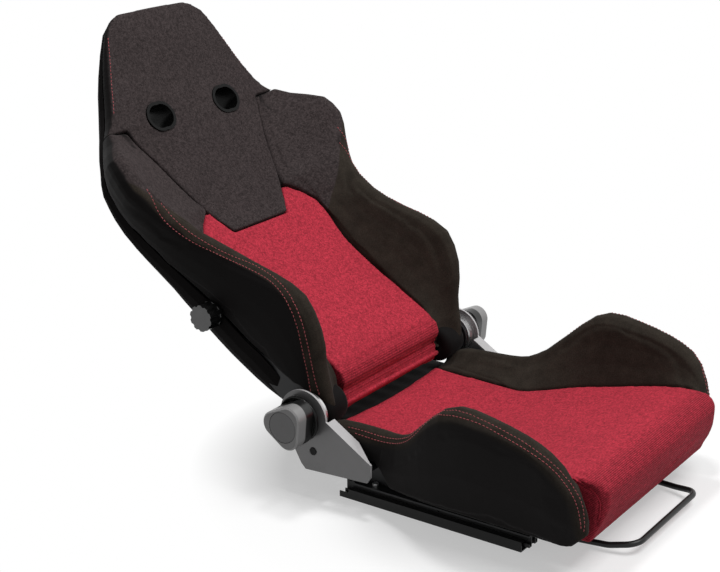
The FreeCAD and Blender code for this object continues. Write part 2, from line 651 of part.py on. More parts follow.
def bent_bar(points, radii, radius):
    """Straight round runs joined by tangent bends: one radius for each inner point, 0 for a plain joint."""
    pieces = []
    start = points[0]
    for k in range(1, len(points) - 1):
        if not radii[k - 1]:
            pieces.append(Part.makeCylinder(radius, (points[k] - start).Length, start, points[k] - start))
            pieces.append(Part.makeSphere(radius, points[k]))
            start = points[k]
            continue
        back = (points[k - 1] - points[k]).normalize()
        ahead = (points[k + 1] - points[k]).normalize()
        turn = pi - back.getAngle(ahead)
        reach = radii[k - 1] * tan(turn / 2)
        first = points[k] + back * reach
        last = points[k] + ahead * reach
        centre = points[k] + (back + ahead).normalize() * (radii[k - 1] / cos(turn / 2))
        axis = ahead.cross(back).normalize()
        section = Part.Face(Part.Wire(Part.Circle(first, back, radius).toShape()))
        pieces.append(Part.makeCylinder(radius, (first - start).Length, start, back * -1))
        pieces.append(section.revolve(centre, axis, degrees(turn)))
        start = last
    pieces.append(Part.makeCylinder(radius, (points[-1] - start).Length, start, points[-1] - start))
    return pieces[0].multiFuse(pieces[1:]).removeSplitter()


def tube(points, radii, radius, wall=0):
    """A bent tube, or a bar where no wall is given."""
    outside = bent_bar(points, radii, radius)
    return outside.cut(bent_bar(points, radii, radius - wall)) if wall else outside


def slide_bar():
    front = size("Dims.bar_front")
    low = size("Dims.bar_radius") + 5
    half = [
        Vector(ARM_X, LEVER_PIVOT.y - 77, LEVER_PIVOT.z + 1),
        Vector(ARM_X - 2, front + 180, LEVER_PIVOT.z + 3),
        Vector(131, front + 101, low),
        Vector(124, front + 43, low + 2),
        Vector(111, front, low + 10),
    ]
    other = [Vector(-point.x, point.y, point.z) for point in reversed(half)]
    radii = [40, 60, 50, 26]
    solid_part("slide_bar", tube(half + other, radii + radii[::-1], size("Dims.bar_radius")))


def latch_arm(label, side):
    """An upright plate from the hinge pin to the bar, with three teeth just clear of the rail's windows."""
    tooth_low = size("Dims.rail_height") + 0.3
    foot = tooth_low + 2
    end_radius = LEVER_PIVOT.z - size("Dims.rail_height") - 0.5
    top = LEVER_PIVOT.z + end_radius
    front = LEVER_PIVOT.y - 78
    pitch = size("Dims.window_pitch")
    tooth = size("Dims.window_length") - 3
    first = -pitch * (size("Dims.window_count") + 7) / 2 + size("Dims.window_length / 2")
    steps = int((LEVER_PIVOT.y - 30 - first) / pitch)
    points = [Vector(0, LEVER_PIVOT.y, foot), Vector(0, LEVER_PIVOT.y, top)]
    points += [Vector(0, front, top), Vector(0, front, foot)]
    for k in (2, 1, 0):
        middle = first + pitch * (steps - k)
        for y, z in ((-tooth, foot), (-tooth, tooth_low), (tooth, tooth_low), (tooth, foot)):
            points.append(Vector(0, middle + y / 2, z))
    plate = Part.Face(Part.makePolygon(points + [points[0]])).extrude(Vector(LATCH_SHEET, 0, 0))
    round_end = Part.makeCylinder(end_radius, LATCH_SHEET, LEVER_PIVOT, Vector(1, 0, 0))
    plate = plate.fuse(round_end)
    plate.translate(Vector(side * ARM_X - LATCH_SHEET / 2, 0, 0))
    across = Vector(side * ARM_X - 10, LEVER_PIVOT.y, LEVER_PIVOT.z)
    pin_hole = Part.makeCylinder(size("Dims.pin_radius"), 20, across, Vector(1, 0, 0))
    seat_start = Vector(side * ARM_X, front - 1, LEVER_PIVOT.z + 1)
    bar_seat = Part.makeCylinder(size("Dims.bar_radius") + 0.02, 2.1, seat_start, Vector(0, 1, 0))
    solid_part(label, plate.cut(pin_hole).cut(bar_seat).removeSplitter())


def lever_pins():
    """Headed pins through the latch arms into the inner webs of the upper rails."""
    pins = []
    radius = size("Dims.pin_radius") - 0.05
    web_in = size("Dims.rail_gauge / 2 - Dims.lip_gap / 2 + Dims.slide_gap + Dims.rail_sheet")
    head_out = ARM_X - LATCH_SHEET / 2 - 0.3
    for name, side in SIDES:
        axis = Vector(side, 0, 0)
        start = Vector(side * head_out, LEVER_PIVOT.y, LEVER_PIVOT.z)
        shank = Part.makeCylinder(radius, web_in - head_out, start, axis)
        head = Part.makeCylinder(radius + 2, 2.2, start - axis * 2.2, axis)
        pins.append(shank.fuse(head))
    solid_part("lever_pins", Part.makeCompound(pins))


slide_bar()
for name, side in SIDES:
    latch_arm("latch_arm_" + name, side)
lever_pins()


# Profiles: a value along the height or the length, smooth through a few chosen points


def along(profile, place):
    """Value of a profile at a place: a monotone cubic through its points."""
    knots = [point[0] for point in profile]
    values = [point[1] for point in profile]
    if place <= knots[0]:
        return values[0]
    if place >= knots[-1]:
        return values[-1]
    steps = [(values[k + 1] - values[k]) / (knots[k + 1] - knots[k]) for k in range(len(knots) - 1)]
    slopes = [steps[0]]
    for k in range(1, len(steps)):
        same_way = steps[k - 1] * steps[k] > 0
        slopes.append(2 * steps[k - 1] * steps[k] / (steps[k - 1] + steps[k]) if same_way else 0)
    slopes.append(steps[-1])
    k = max(index for index in range(len(steps)) if knots[index] <= place)
    width = knots[k + 1] - knots[k]
    t = (place - knots[k]) / width
    start = values[k] * (1 + 2 * t) * (1 - t) ** 2 + slopes[k] * width * t * (1 - t) ** 2
    end = values[k + 1] * t * t * (3 - 2 * t) + slopes[k + 1] * width * t * t * (t - 1)
    return start + end


def between(stations, low, high):
    return [place for place in stations if low <= place <= high]


def arc_edge(start, middle, end):
    return Part.Arc(start, middle, end).toShape()


def chords(start, middle, end, steps):
    """An arc as a few straight edges, which keeps the facets of a long loft few."""
    points = arc_edge(start, middle, end).discretize(steps + 1)
    return [line_edge(points[k], points[k + 1]) for k in range(steps)]


def line_edge(start, end):
    return Part.LineSegment(start, end).toShape()


def loft(sections):
    """Straight from slice to slice, so that neighbours cut at the same stations keep an even seam."""
    return Part.makeLoft(sections, True, True)


SEAM = size("Dims.foam_gap") / 2


# Backrest forms, drawn upright: x across, y to the rear, z up from the recline axis. Each profile gives a
# half width or a depth at heights of the reference back; widths move out with the brackets.

REFERENCE_SPAN = 480
REFERENCE_BACK = 783
wider = size("Dims.bracket_span") / 2 - REFERENCE_SPAN / 2
taller = size("Dims.back_height") / REFERENCE_BACK

BACK_STATIONS = (
    -26, -15, -2, 12, 28, 50, 75, 101, 130, 160, 190, 220, 250, 280, 310, 350, 378, 402, 430, 458, 480, 502,
    522, 542, 562, 585)
HEAD_STATIONS = (585, 598, 615, 640, 671, 700, 730, 760, 775, 783)

# Front of the pad and the centre panel along the middle, and how far their edges stand ahead of it
FRONT_LINE = [
    (-26, 12), (-15, -5), (-3, -18), (10, -31), (29, -38), (68, -29), (101, -18), (133, -7), (170, 8),
    (206, 20), (230, 28), (260, 38), (300, 48), (350, 54), (400, 57), (450, 57), (540, 50), (591, 42),
    (640, 33), (673, 26), (720, 13), (760, 2), (783, -1)]
PAD_RISE = [(-26, 1), (30, 4), (206, 4), (260, 5), (300, 9), (350, 8)]
PANEL_RISE = [(350, 2), (450, 1), (500, -1), (585, -5), (783, -3)]
# Between foam and shell, and the rounded rear corner of the shell
SPLIT_LINE = [
    (-26, 16), (60, 14), (101, 16), (170, 36), (230, 50), (300, 72), (350, 84), (450, 88), (540, 80),
    (591, 72), (640, 62), (673, 52), (720, 36), (760, 20), (783, 9)]
REAR_RIM = [
    (-20, 33), (20, 46), (60, 58), (98, 68), (166, 89), (230, 104), (300, 118), (374, 125), (430, 121),
    (484, 112), (546, 99), (610, 98), (640, 92), (673, 79), (720, 55), (760, 31), (783, 15)]
PAD_HALF = [(-26, 150), (100, 152), (235, 156), (318, 166), (350, 164), (378, 140), (402, 110)]
PANEL_HALF = [(350, 76), (402, 106.5), (500, 144), (579, 179)]
HEAD_HALF = [(585, 229), (606, 204), (640, 185), (671, 171), (722, 148), (760, 126), (776, 105), (783, 85)]
SIDE_HALF = [
    (-20, 204), (30, 213), (50, 216), (75, 222), (110, 226), (240, 226), (300, 227), (360, 236), (400, 248),
    (450, 260), (500, 262), (550, 241), (585, 218), (606, 203), (640, 184), (673, 170), (722, 147),
    (760, 125), (776, 104), (783, 83)]
# The ridge along each wing
RIDGE_HALF = [
    (-18, 197), (0, 201), (40, 204), (120, 215), (160, 217), (280, 215), (360, 233), (400, 254), (480, 289),
    (520, 282), (560, 243), (585, 222)]
RIDGE_DEPTH = [
    (-18, -22), (0, -29), (40, -45), (80, -75), (120, -96), (160, -102), (200, -85), (240, -58), (280, -31),
    (320, -9), (360, 8), (400, 16), (440, 14), (480, 6), (520, 11), (560, 38), (585, 49)]
RIDGE_RADIUS = [(-18, 9), (20, 16), (80, 20), (500, 20), (560, 14), (585, 10)]


def back_point(x, depth, height):
    return Vector(x + (wider if x > 0 else -wider), depth, height * taller)


def panel_section(height, half, rear_half, rise_line):
    """A slice of the pad, the centre panel or the head pad: crowned front, bowed sides, flat rear."""
    half = half - SEAM
    rear_half = rear_half - SEAM
    front = along(FRONT_LINE, height)
    rise = along(rise_line, height)
    edge = front - (rise if abs(rise) > 0.5 else 0.5)
    rear = max(along(SPLIT_LINE, height), front + 3)
    bow = min(3, half / 40)
    outline = ((-half, edge), (half, edge), (rear_half, rear), (-rear_half, rear))
    corners = [back_point(x, depth, height) for x, depth in outline]
    middle_front = Vector(0, front, height * taller)
    bowed = (half + rear_half) / 2 + bow
    side_middle = (edge + rear) / 2
    straight = abs(half - rear_half) < 0.1
    right = chords(corners[1], back_point(bowed, side_middle, height), corners[2], 2)
    left = chords(corners[3], back_point(-bowed, side_middle, height), corners[0], 2)
    if straight:
        right = [line_edge(corners[1], corners[2])]
        left = [line_edge(corners[3], corners[0])]
    front_edge = chords(corners[0], middle_front, corners[1], 6)
    return Part.Wire(front_edge + right + [line_edge(corners[2], corners[3])] + left)


def back_pad():
    """The pad, with a horn on each side that tapers up between the centre panel and the wing."""
    sections = []
    for height in between(BACK_STATIONS, -26, 350):
        half = along(PAD_HALF, height)
        sections.append(panel_section(height, half, half, PAD_RISE))
    solid = loft(sections)
    for side in (-1, 1):
        horn = []
        for height in between(BACK_STATIONS, 350, 402):
            inner = along(PANEL_HALF, height) + SEAM
            outer = along(PAD_HALF, height) - SEAM
            front = along(FRONT_LINE, height)
            outer_front = front - along(PAD_RISE, height)
            rear = along(SPLIT_LINE, height)
            first = (inner, front - 1)
            outline = [first, (outer, outer_front), (outer, rear), (inner, rear), first]
            horn.append(Part.makePolygon([back_point(side * x, depth, height) for x, depth in outline]))
        solid = solid.fuse(loft(horn))
    return solid


def back_centre():
    """The centre panel, which widens into the head pad above the wings."""
    lower = []
    for height in [350 + 2 * SEAM] + between(BACK_STATIONS, 378, 585):
        half = along(PANEL_HALF, height)
        lower.append(panel_section(height, half, half, PANEL_RISE))
    upper = []
    for height in HEAD_STATIONS:
        half = along(HEAD_HALF, height)
        upper.append(panel_section(height, half, along(SIDE_HALF, height), PANEL_RISE))
    return loft(lower).fuse(loft(upper))


def wing_section(height, side):
    """A slice of a wing: flat rear, bowed outer side, rolled ridge, hollow inner flank, wall at the seam."""
    beside_pad = height <= 402
    seam = along(PAD_HALF if beside_pad else PANEL_HALF, height) + SEAM
    front = along(FRONT_LINE, height) - along(PAD_RISE if beside_pad else PANEL_RISE, height)
    low_end = min(1, max(0, (20 - height) / 38))
    rear = along(SPLIT_LINE, height) * (1 - 0.8 * low_end) - 14 * low_end
    outer = along(SIDE_HALF, height)
    centre_x = along(RIDGE_HALF, height)
    centre_y = along(RIDGE_DEPTH, height)
    radius = along(RIDGE_RADIUS, height)
    recess = along([(12, 14), (75, 0)], height)
    front = min(max(front, centre_y - radius + 4) + recess, rear - 6)

    def point(x, y):
        return back_point(side * x, y, height)

    out_angle = atan2(rear - centre_y, outer - centre_x) - radians(78)
    in_angle = atan2(front - centre_y, seam - centre_x) + radians(60)
    crown_angle = (out_angle + in_angle - (2 * pi if in_angle > 0 else 0)) / 2
    out_touch = (centre_x + radius * cos(out_angle), centre_y + radius * sin(out_angle))
    in_touch = (centre_x + radius * cos(in_angle), centre_y + radius * sin(in_angle))
    crown = (centre_x + radius * cos(crown_angle), centre_y + radius * sin(crown_angle))
    bulge = ((outer + out_touch[0]) / 2 + 4, (rear + out_touch[1]) / 2)
    hollow = ((seam + in_touch[0]) / 2 + 3, (front + in_touch[1]) / 2 + 3)
    rear_edge = [line_edge(point(seam, rear), point(outer, rear))]
    outer_side = chords(point(outer, rear), point(*bulge), point(*out_touch), 3)
    ridge = chords(point(*out_touch), point(*crown), point(*in_touch), 5)
    flank = chords(point(*in_touch), point(*hollow), point(seam, front), 3)
    seam_edge = [line_edge(point(seam, front), point(seam, rear))]
    return Part.Wire(rear_edge + outer_side + ridge + flank + seam_edge)


def back_bolster(side):
    heights = between(BACK_STATIONS, -15, 562) + [585 - 2 * SEAM]
    return loft([wing_section(height, side) for height in heights])


def shell_section(height, inset, ahead):
    """A slice of the shell behind the foam: sides that round into a crowned rear."""
    front = along(SPLIT_LINE, height) + 2 * SEAM - ahead
    rim = max(along(REAR_RIM, height) - inset, front + 2)
    half = along(SIDE_HALF, height) - inset
    corner = half - 12
    crown = 12 * min(1, (REFERENCE_BACK + 20 - height) / 100)
    shoulder = half - 2
    shoulder_depth = front + (rim - front) * 0.7

    def point(x, depth):
        return back_point(x, depth, height)

    left = chords(point(half, front), point(shoulder, shoulder_depth), point(corner, rim), 3)
    rear = chords(point(corner, rim), Vector(0, rim + crown, height * taller), point(-corner, rim), 6)
    right = chords(point(-corner, rim), point(-shoulder, shoulder_depth), point(-half, front), 3)
    return Part.Wire(left + rear + right + [line_edge(point(-half, front), point(half, front))])


def back_shell():
    """An open tray behind the foam, closed at its lower and upper ends."""
    wall = size("Dims.shell_wall")
    heights = between(BACK_STATIONS, -15, 562) + between(HEAD_STATIONS, 585, 775)
    outer = loft([shell_section(height, 0, 0) for height in heights])
    inner_heights = [heights[0] + wall] + heights[1:-1] + [heights[-1] - wall]
    inner = loft([shell_section(height, wall, wall) for height in inner_heights])
    return outer.cut(inner)


# Harness openings: sleeves through foam and shell, square to the front of the panel

SLOT_Z = size("Dims.slot_height")
SLOT_FRONT = along(FRONT_LINE, SLOT_Z / taller)
SLOT_REACH = 25
SLOT_UPPER = along(FRONT_LINE, SLOT_Z / taller + SLOT_REACH)
SLOT_LOWER = along(FRONT_LINE, SLOT_Z / taller - SLOT_REACH)
SLOT_FALL = (SLOT_UPPER - SLOT_LOWER) / (2 * SLOT_REACH * taller)
SLOT_TURN = Rotation(Vector(1, 0, 0), degrees(atan2(-SLOT_FALL, 1)))
SLEEVE_LIP = 3
SLEEVE_LENGTH = 68


def slot_oval(side, grow, start, depth):
    """The opening's oval, grown all round, as a prism that runs back from the front of the panel."""
    wide = size("Dims.slot_width") / 2 + grow
    tall = size("Dims.slot_tall") / 2 + grow
    ends = [Vector(wide, 0, 0), Vector(0, 0, tall), Vector(-wide, 0, 0), Vector(0, 0, -tall)]
    edges = []
    for k in range(4):
        a = ends[k]
        b = ends[(k + 1) % 4]
        edges.append(arc_edge(a, (a + b) * 0.74, b))
    prism = Part.Face(Part.Wire(edges)).extrude(Vector(0, depth, 0))
    prism.translate(Vector(0, start, 0))
    place = Placement(Vector(side * size("Dims.slot_spacing / 2"), SLOT_FRONT, SLOT_Z), SLOT_TURN)
    prism.Placement = place.multiply(prism.Placement)
    return prism


def harness_sleeve(side):
    wall = size("Dims.sleeve_wall")
    tunnel = slot_oval(side, wall, 0, SLEEVE_LENGTH)
    rim = slot_oval(side, wall + SLEEVE_LIP, -1, 2.5)
    return tunnel.fuse(rim).cut(slot_oval(side, 0, -5, SLEEVE_LENGTH + 10))


def slot_room(side):
    """What foam and shell leave free for a sleeve and its rim."""
    wall = size("Dims.sleeve_wall") + 2 * SEAM
    return slot_oval(side, wall, 0, 120).fuse(slot_oval(side, wall + SLEEVE_LIP, -40, 41.5 + 2 * SEAM))


# Frame of the backrest

TUBE_RADIUS = size("Dims.frame_tube_radius")
TUBE_HALF = 150
# Heights of the bends, half widths there, and how far the tube runs behind the foam
FRAME_BENDS = [
    (22, 150, 1.5), (170, 150, 2), (300, 150, 7), (420, 150, 5), (560, 150, 2),
    (630, 128, 2), (676, 105, 2.5)]
CROSS_HEIGHT = 120
CROSS_RADIUS = 6.5


def frame_depth(height, behind):
    return along(SPLIT_LINE, height) + TUBE_RADIUS + behind


def frame_points():
    return [back_point(x, frame_depth(height, behind), height) for height, x, behind in FRAME_BENDS]


def cross_place():
    """Where the lower cross member passes through the frame tube, on its first straight run."""
    low, high = frame_points()[:2]
    return low + (high - low) * ((CROSS_HEIGHT - FRAME_BENDS[0][0]) / (FRAME_BENDS[1][0] - FRAME_BENDS[0][0]))


def cross_member(radius):
    middle = cross_place()
    return Part.makeCylinder(radius, 2 * ARM_IN, Vector(-ARM_IN, middle.y, middle.z), Vector(1, 0, 0))


def back_frame_tube():
    half = frame_points()
    other = [Vector(-point.x, point.y, point.z) for point in reversed(half)]
    radii = [0, 0, 0, 0, 0, 32]
    bent = tube(half + other, radii + radii[::-1], TUBE_RADIUS, size("Dims.frame_tube_wall"))
    return bent.cut(cross_member(CROSS_RADIUS))


def back_cross_tube():
    return cross_member(CROSS_RADIUS).cut(cross_member(CROSS_RADIUS - 1.5))


def back_arm(side, grow=0):
    """A plate from the recliner up and back into the shell, or the room that it needs."""
    sheet_depth = size("Dims.arm_sheet") + 2 * grow
    tip = Vector(0, cross_place().y + 7, cross_place().z + 42)
    tip_radius = 11 + grow
    root_radius = 32 + grow
    across = Vector(0, -tip.z, tip.y).normalize()
    hub = Part.makeCylinder(root_radius, sheet_depth, Vector(), Vector(1, 0, 0))
    tip_end = Part.makeCylinder(tip_radius, sheet_depth, tip, Vector(1, 0, 0))
    blade = Part.makePolygon([
        across * root_radius * 0.9, tip + across * tip_radius, tip - across * tip_radius,
        across * root_radius * -0.9, across * root_radius * 0.9])
    plate = Part.Face(blade).extrude(Vector(sheet_depth, 0, 0)).fuse(hub).fuse(tip_end)
    if not grow:
        bore = Part.makeCylinder(size(BORE), sheet_depth * 3, Vector(-sheet_depth, 0, 0), Vector(1, 0, 0))
        plate = plate.cut(bore)
    plate = plate.removeSplitter()
    plate.translate(Vector(low_x(side, ARM_IN - grow, sheet_depth), 0, 0))
    return plate


def disc_room(side):
    """What a wing leaves free for the recliner disc on the back arm."""
    depth = DISC + 10
    start = Vector(low_x(side, ARM_DISC_IN - SEAM, depth), 0, 0)
    return Part.makeCylinder(size("Dims.disc_radius") - 1.5, depth, start, Vector(1, 0, 0))


ROD_START = Vector(-size("Dims.bracket_span") / 2, 0, 0)
ROD_ROOM_RADIUS = size("Dims.rod_radius") + 1.5
ROD_ROOM = Part.makeCylinder(ROD_ROOM_RADIUS, size("Dims.bracket_span"), ROD_START, Vector(1, 0, 0))


# Lumbar support: a knob turns a shaft with two cams, which push a plate into the rear of the pad

LUMBAR_Z = size("Dims.lumbar_height") * taller
LUMBAR_Y = size("Dims.lumbar_depth")
PLATE_HALF_HEIGHT = 19
PLATE_SHEET = 2
LUMBAR_TRAVEL = 2 * size("Dims.cam_offset")
EAR_X = 92
EAR_SHEET = 4
KNOB_FACE = along(SIDE_HALF, size("Dims.lumbar_height")) + wider + 2.9
KNOB_LENGTH = size("Dims.lumbar_length")
# The plate moves evenly with the knob, and the cams run ahead of that by up to 0.211 of their offset
CAM_GAP = 0.215 * size("Dims.cam_offset")
PLATE_FACE = LUMBAR_Y + size("Dims.cam_offset - Dims.cam_radius") - CAM_GAP - PLATE_SHEET
CARRIER_DEPTH = LUMBAR_Y + size("Dims.cam_offset + Dims.cam_radius") + 1.5


def lumbar_spindle():
    """Shaft with two eccentric cams, from the knob on the right side to the carrier's left ear."""
    start = Vector(-KNOB_FACE - KNOB_LENGTH + 6, LUMBAR_Y, LUMBAR_Z)
    shaft = Part.makeCylinder(size("Dims.spindle_radius"), EAR_X + 8 - start.x, start, Vector(1, 0, 0))
    for side in (-1, 1):
        centre = Vector(side * 60 - 8, LUMBAR_Y + size("Dims.cam_offset"), LUMBAR_Z)
        shaft = shaft.fuse(Part.makeCylinder(size("Dims.cam_radius"), 16, centre, Vector(1, 0, 0)))
    return shaft.removeSplitter()


def lumbar_carrier(frame_tube):
    """A plate coped to the frame tubes, with two ears that carry the shaft."""
    half = TUBE_HALF + wider
    plate = Part.makeBox(2 * half, 3, 30, Vector(-half, CARRIER_DEPTH, LUMBAR_Z - 15))
    ear_front = LUMBAR_Y - 10
    for side in (-1, 1):
        corner = Vector(side * EAR_X - EAR_SHEET / 2, ear_front, LUMBAR_Z - 15)
        plate = plate.fuse(Part.makeBox(EAR_SHEET, CARRIER_DEPTH + 1 - ear_front, 30, corner))
    start = Vector(-half, LUMBAR_Y, LUMBAR_Z)
    bore = Part.makeCylinder(size("Dims.spindle_radius + Dims.rod_gap"), 2 * half, start, Vector(1, 0, 0))
    return plate.cut(bore).cut(frame_tube).Solids[0]


def lumbar_plate():
    half = EAR_X - 12
    corner = Vector(-half, PLATE_FACE, LUMBAR_Z - PLATE_HALF_HEIGHT)
    plate = Part.makeBox(2 * half, PLATE_SHEET, 2 * PLATE_HALF_HEIGHT, corner)
    upright = [edge for edge in plate.Edges if abs(edge.tangentAt(edge.FirstParameter).y) > 0.99]
    return plate.makeFillet(8, upright)


def lumbar_room():
    """Pocket in the rear of the pad for the plate, its travel and the carrier's ears."""
    half = EAR_X + EAR_SHEET / 2 + 3
    corner = Vector(-half, PLATE_FACE - LUMBAR_TRAVEL - 1, LUMBAR_Z - PLATE_HALF_HEIGHT - 2)
    return Part.makeBox(2 * half, 80, 2 * PLATE_HALF_HEIGHT + 4, corner)


def spindle_room():
    start = Vector(-2 * KNOB_FACE, LUMBAR_Y, LUMBAR_Z)
    return Part.makeCylinder(size("Dims.spindle_radius") + 1, 2 * KNOB_FACE, start, Vector(1, 0, 0))


def lumbar_knob():
    """A round knob with finger flutes and a plain collar against the side of the shell."""
    radius = size("Dims.lumbar_radius")
    end = -KNOB_FACE - KNOB_LENGTH
    knob = Part.makeCylinder(radius, KNOB_LENGTH, Vector(end, LUMBAR_Y, LUMBAR_Z), Vector(1, 0, 0))
    flutes = 10
    flute_radius = 4.5
    for k in range(flutes):
        angle = 2 * pi * k / flutes
        reach = radius + flute_radius / 2
        start = Vector(end - 1, LUMBAR_Y + reach * cos(angle), LUMBAR_Z + reach * sin(angle))
        knob = knob.cut(Part.makeCylinder(flute_radius, KNOB_LENGTH - 5, start, Vector(1, 0, 0)))
    seat = Part.makeCylinder(
        size("Dims.spindle_radius") + 0.02, KNOB_LENGTH, Vector(end + 6, LUMBAR_Y, LUMBAR_Z), Vector(1, 0, 0))
    return knob.cut(seat)


def on_back(label, shape):
    """Lay a piece back about the recline axis."""
    shape.Placement = ON_BACK.multiply(shape.Placement)
    return solid_part(label, shape)


slots = slot_room(-1).fuse(slot_room(1))
spindle_space = spindle_room()
arm_room = back_arm(-1, 0.5).fuse(back_arm(1, 0.5))
frame_tube = back_frame_tube().cut(spindle_space)
on_back("back_pad", back_pad().cut(ROD_ROOM).cut(lumbar_room()))
on_back("back_centre", back_centre().cut(slots))
on_back("back_shell", back_shell().cut(slots).cut(spindle_space).cut(arm_room))
for name, side in SIDES:
    wing = back_bolster(side).cut(ROD_ROOM).cut(arm_room).cut(disc_room(side))
    on_back("back_bolster_" + name, wing)
    on_back("harness_sleeve_" + name, harness_sleeve(side))
    on_back("back_arm_" + name, back_arm(side))
on_back("lumbar_carrier", lumbar_carrier(frame_tube))
on_back("back_frame_tube", frame_tube)
on_back("back_cross_tube", back_cross_tube())
on_back("lumbar_spindle", lumbar_spindle())
on_back("lumbar_plate", lumbar_plate())
on_back("lumbar_knob", lumbar_knob())


# Base forms, sliced across the seat: x across, z up, stations from the rear forwards

CUSHION_FRONT = size("Dims.cushion_front")
CUSHION_REAR = size("Dims.cushion_rear")
REFERENCE_FRONT = -293
REFERENCE_REAR = 211
REFERENCE_HEIGHT = 108
BASE_STATIONS = (
    211, 206, 196, 170, 140, 110, 85, 65, 50, 35, 20, 5, -15, -35, -60, -85, -110, -140, -170, -200, -222,
    -242, -260, -275, -288)
CUSHION_HALF = [
    (-293, 210), (-250, 214), (-190, 216), (-125, 208), (-60, 196), (0, 170), (34, 151), (211, 150)]
CUSHION_SEAM = [
    (-293, 158), (-259, 157), (-192, 145), (-125, 131), (-60, 119), (0, 108), (34, 106), (150, 109),
    (211, 111)]
CUSHION_DISH = [(-293, -3), (-60, -5), (211, -7)]
# The rolled front of the cushion: distance ahead, half width, lower and upper edge
NOSE = [(0, 210, 55, 158), (4, 210, 66, 157), (13, 208, 84, 151), (20, 202, 103, 144), (23, 195, 118, 136)]
BOLSTER_HALF = [
    (-298, 222), (-291, 230), (-277, 241), (-240, 252), (-100, 254), (-60, 250), (-20, 240), (20, 222),
    (60, 206), (100, 200), (211, 196)]
BOLSTER_TOP = [
    (-298, 108), (-291, 130), (-277, 160), (-260, 189), (-240, 207), (-200, 225), (-140, 239), (-95, 245),
    (-60, 234), (-20, 199), (0, 181), (20, 162), (60, 144), (160, 140), (185, 135), (203, 125), (211, 112)]
BOLSTER_FOOT = [
    (-298, 228), (-291, 234), (-260, 238), (-60, 238), (20, 230), (60, 222), (95, 215), (211, 214)]
PAN_TOP = size("Dims.seat_pan_height + Dims.pan_sheet") + 0.3
TUBE_TOP = size("Dims.front_tube_z + Dims.cross_tube_radius") + 4.6
lift = size("Dims.cushion_height") - REFERENCE_HEIGHT


def base_y(place):
    """A station of the reference base, moved to the real length of the cushion."""
    share = (place - REFERENCE_REAR) / (REFERENCE_FRONT - REFERENCE_REAR)
    return CUSHION_REAR + (CUSHION_FRONT - CUSHION_REAR) * share


def base_point(x, y, z):
    return Vector(x + (wider if x > 0 else -wider), y, z)


def cushion_section(y, half, low, high, dish):
    half = half - SEAM
    tuck = min(4, (high - low) / 8)
    low_right = base_point(half - tuck, y, low)
    low_left = base_point(-half + tuck, y, low)
    right = base_point(half, y, high)
    left = base_point(-half, y, high)
    side_height = low + (high - low) / 2
    right_side = chords(low_right, base_point(half - tuck * 0.3, y, side_height), right, 2)
    top = chords(right, Vector(0, y, high + dish), left, 6)
    left_side = chords(left, base_point(-half + tuck * 0.3, y, side_height), low_left, 2)
    return Part.Wire([line_edge(low_left, low_right)] + right_side + top + left_side)


def tube_room():
    """The step over the cross tubes that cushion and bolsters are cut to."""
    start = size("Dims.front_tube_y - 5 * Dims.cross_tube_radius")
    top_start = size("Dims.front_tube_y - 2 * Dims.cross_tube_radius")
    end = 2 * CUSHION_REAR
    outline = [(start, 0), (start, PAN_TOP), (top_start, TUBE_TOP), (end, TUBE_TOP), (end, 0)]
    points = [Vector(-size("Dims.bracket_span"), y, z) for y, z in outline]
    face = Part.Face(Part.makePolygon(points + [points[0]]))
    return face.extrude(Vector(2 * size("Dims.bracket_span"), 0, 0))


def base_cushion():
    sections = []
    for place in BASE_STATIONS:
        high = along(CUSHION_SEAM, place) + lift
        half = along(CUSHION_HALF, place)
        sections.append(cushion_section(base_y(place), half, PAN_TOP, high, along(CUSHION_DISH, place)))
    for ahead, half, low, high in NOSE:
        sections.append(cushion_section(CUSHION_FRONT - ahead, half, low, high + lift, -2))
    return loft(sections)


def base_bolster(side):
    """Rolled side bolster: inner wall against the cushion, ridge, bowed outer side."""
    sections = []
    for place in BASE_STATIONS + (-292, -297):
        nose = along([(-298, 1), (-272, 0)], place)
        inner = along(CUSHION_HALF, place) + SEAM + 6 * nose
        top = along(BOLSTER_TOP, place) + lift
        ridge = along(BOLSTER_HALF, place)
        foot = along(BOLSTER_FOOT, place)
        low = PAN_TOP + 26 * nose
        seam = min(along(CUSHION_SEAM, place) + lift, top - 10) - 14 * nose
        radius = 18 + 10 * along([(-100, 1), (60, 0)], place)
        radius = min(radius, (ridge - inner) * 0.6) * (1 - 0.35 * nose)
        centre_z = top - radius
        out_angle = radians(-8)
        in_angle = radians(150)
        out_touch = (ridge + radius * cos(out_angle), centre_z + radius * sin(out_angle))
        in_touch = (ridge + radius * cos(in_angle), centre_z + radius * sin(in_angle))
        bow = along([(60, 5), (95, 1)], place)
        bulge = ((foot + out_touch[0]) / 2 + bow, (low + out_touch[1]) / 2)
        hollow = ((inner + in_touch[0]) / 2 + 2, (seam + in_touch[1]) / 2 - 3)
        corners = [(inner, low), (foot, low), bulge, out_touch, (ridge, top), in_touch, hollow, (inner, seam)]
        points = [base_point(side * x, base_y(place), z) for x, z in corners]
        underside = [line_edge(points[0], points[1])]
        outer_side = chords(points[1], points[2], points[3], 2)
        roll = chords(points[3], points[4], points[5], 5)
        flank = chords(points[5], points[6], points[7], 3)
        sections.append(Part.Wire(underside + outer_side + roll + flank + [line_edge(points[7], points[0])]))
    return loft(sections)


step = tube_room()
solid_part("base_cushion", base_cushion().cut(step))
for name, side in SIDES:
    solid_part("base_bolster_" + name, base_bolster(side).cut(step))


# Check every object, then write one file for each sub-part

doc.recompute()
for thing in doc.Objects:
    for word in ("Invalid", "Error"):
        if word in thing.State:
            raise ValueError("%s is %s" % (thing.Label, thing.State))

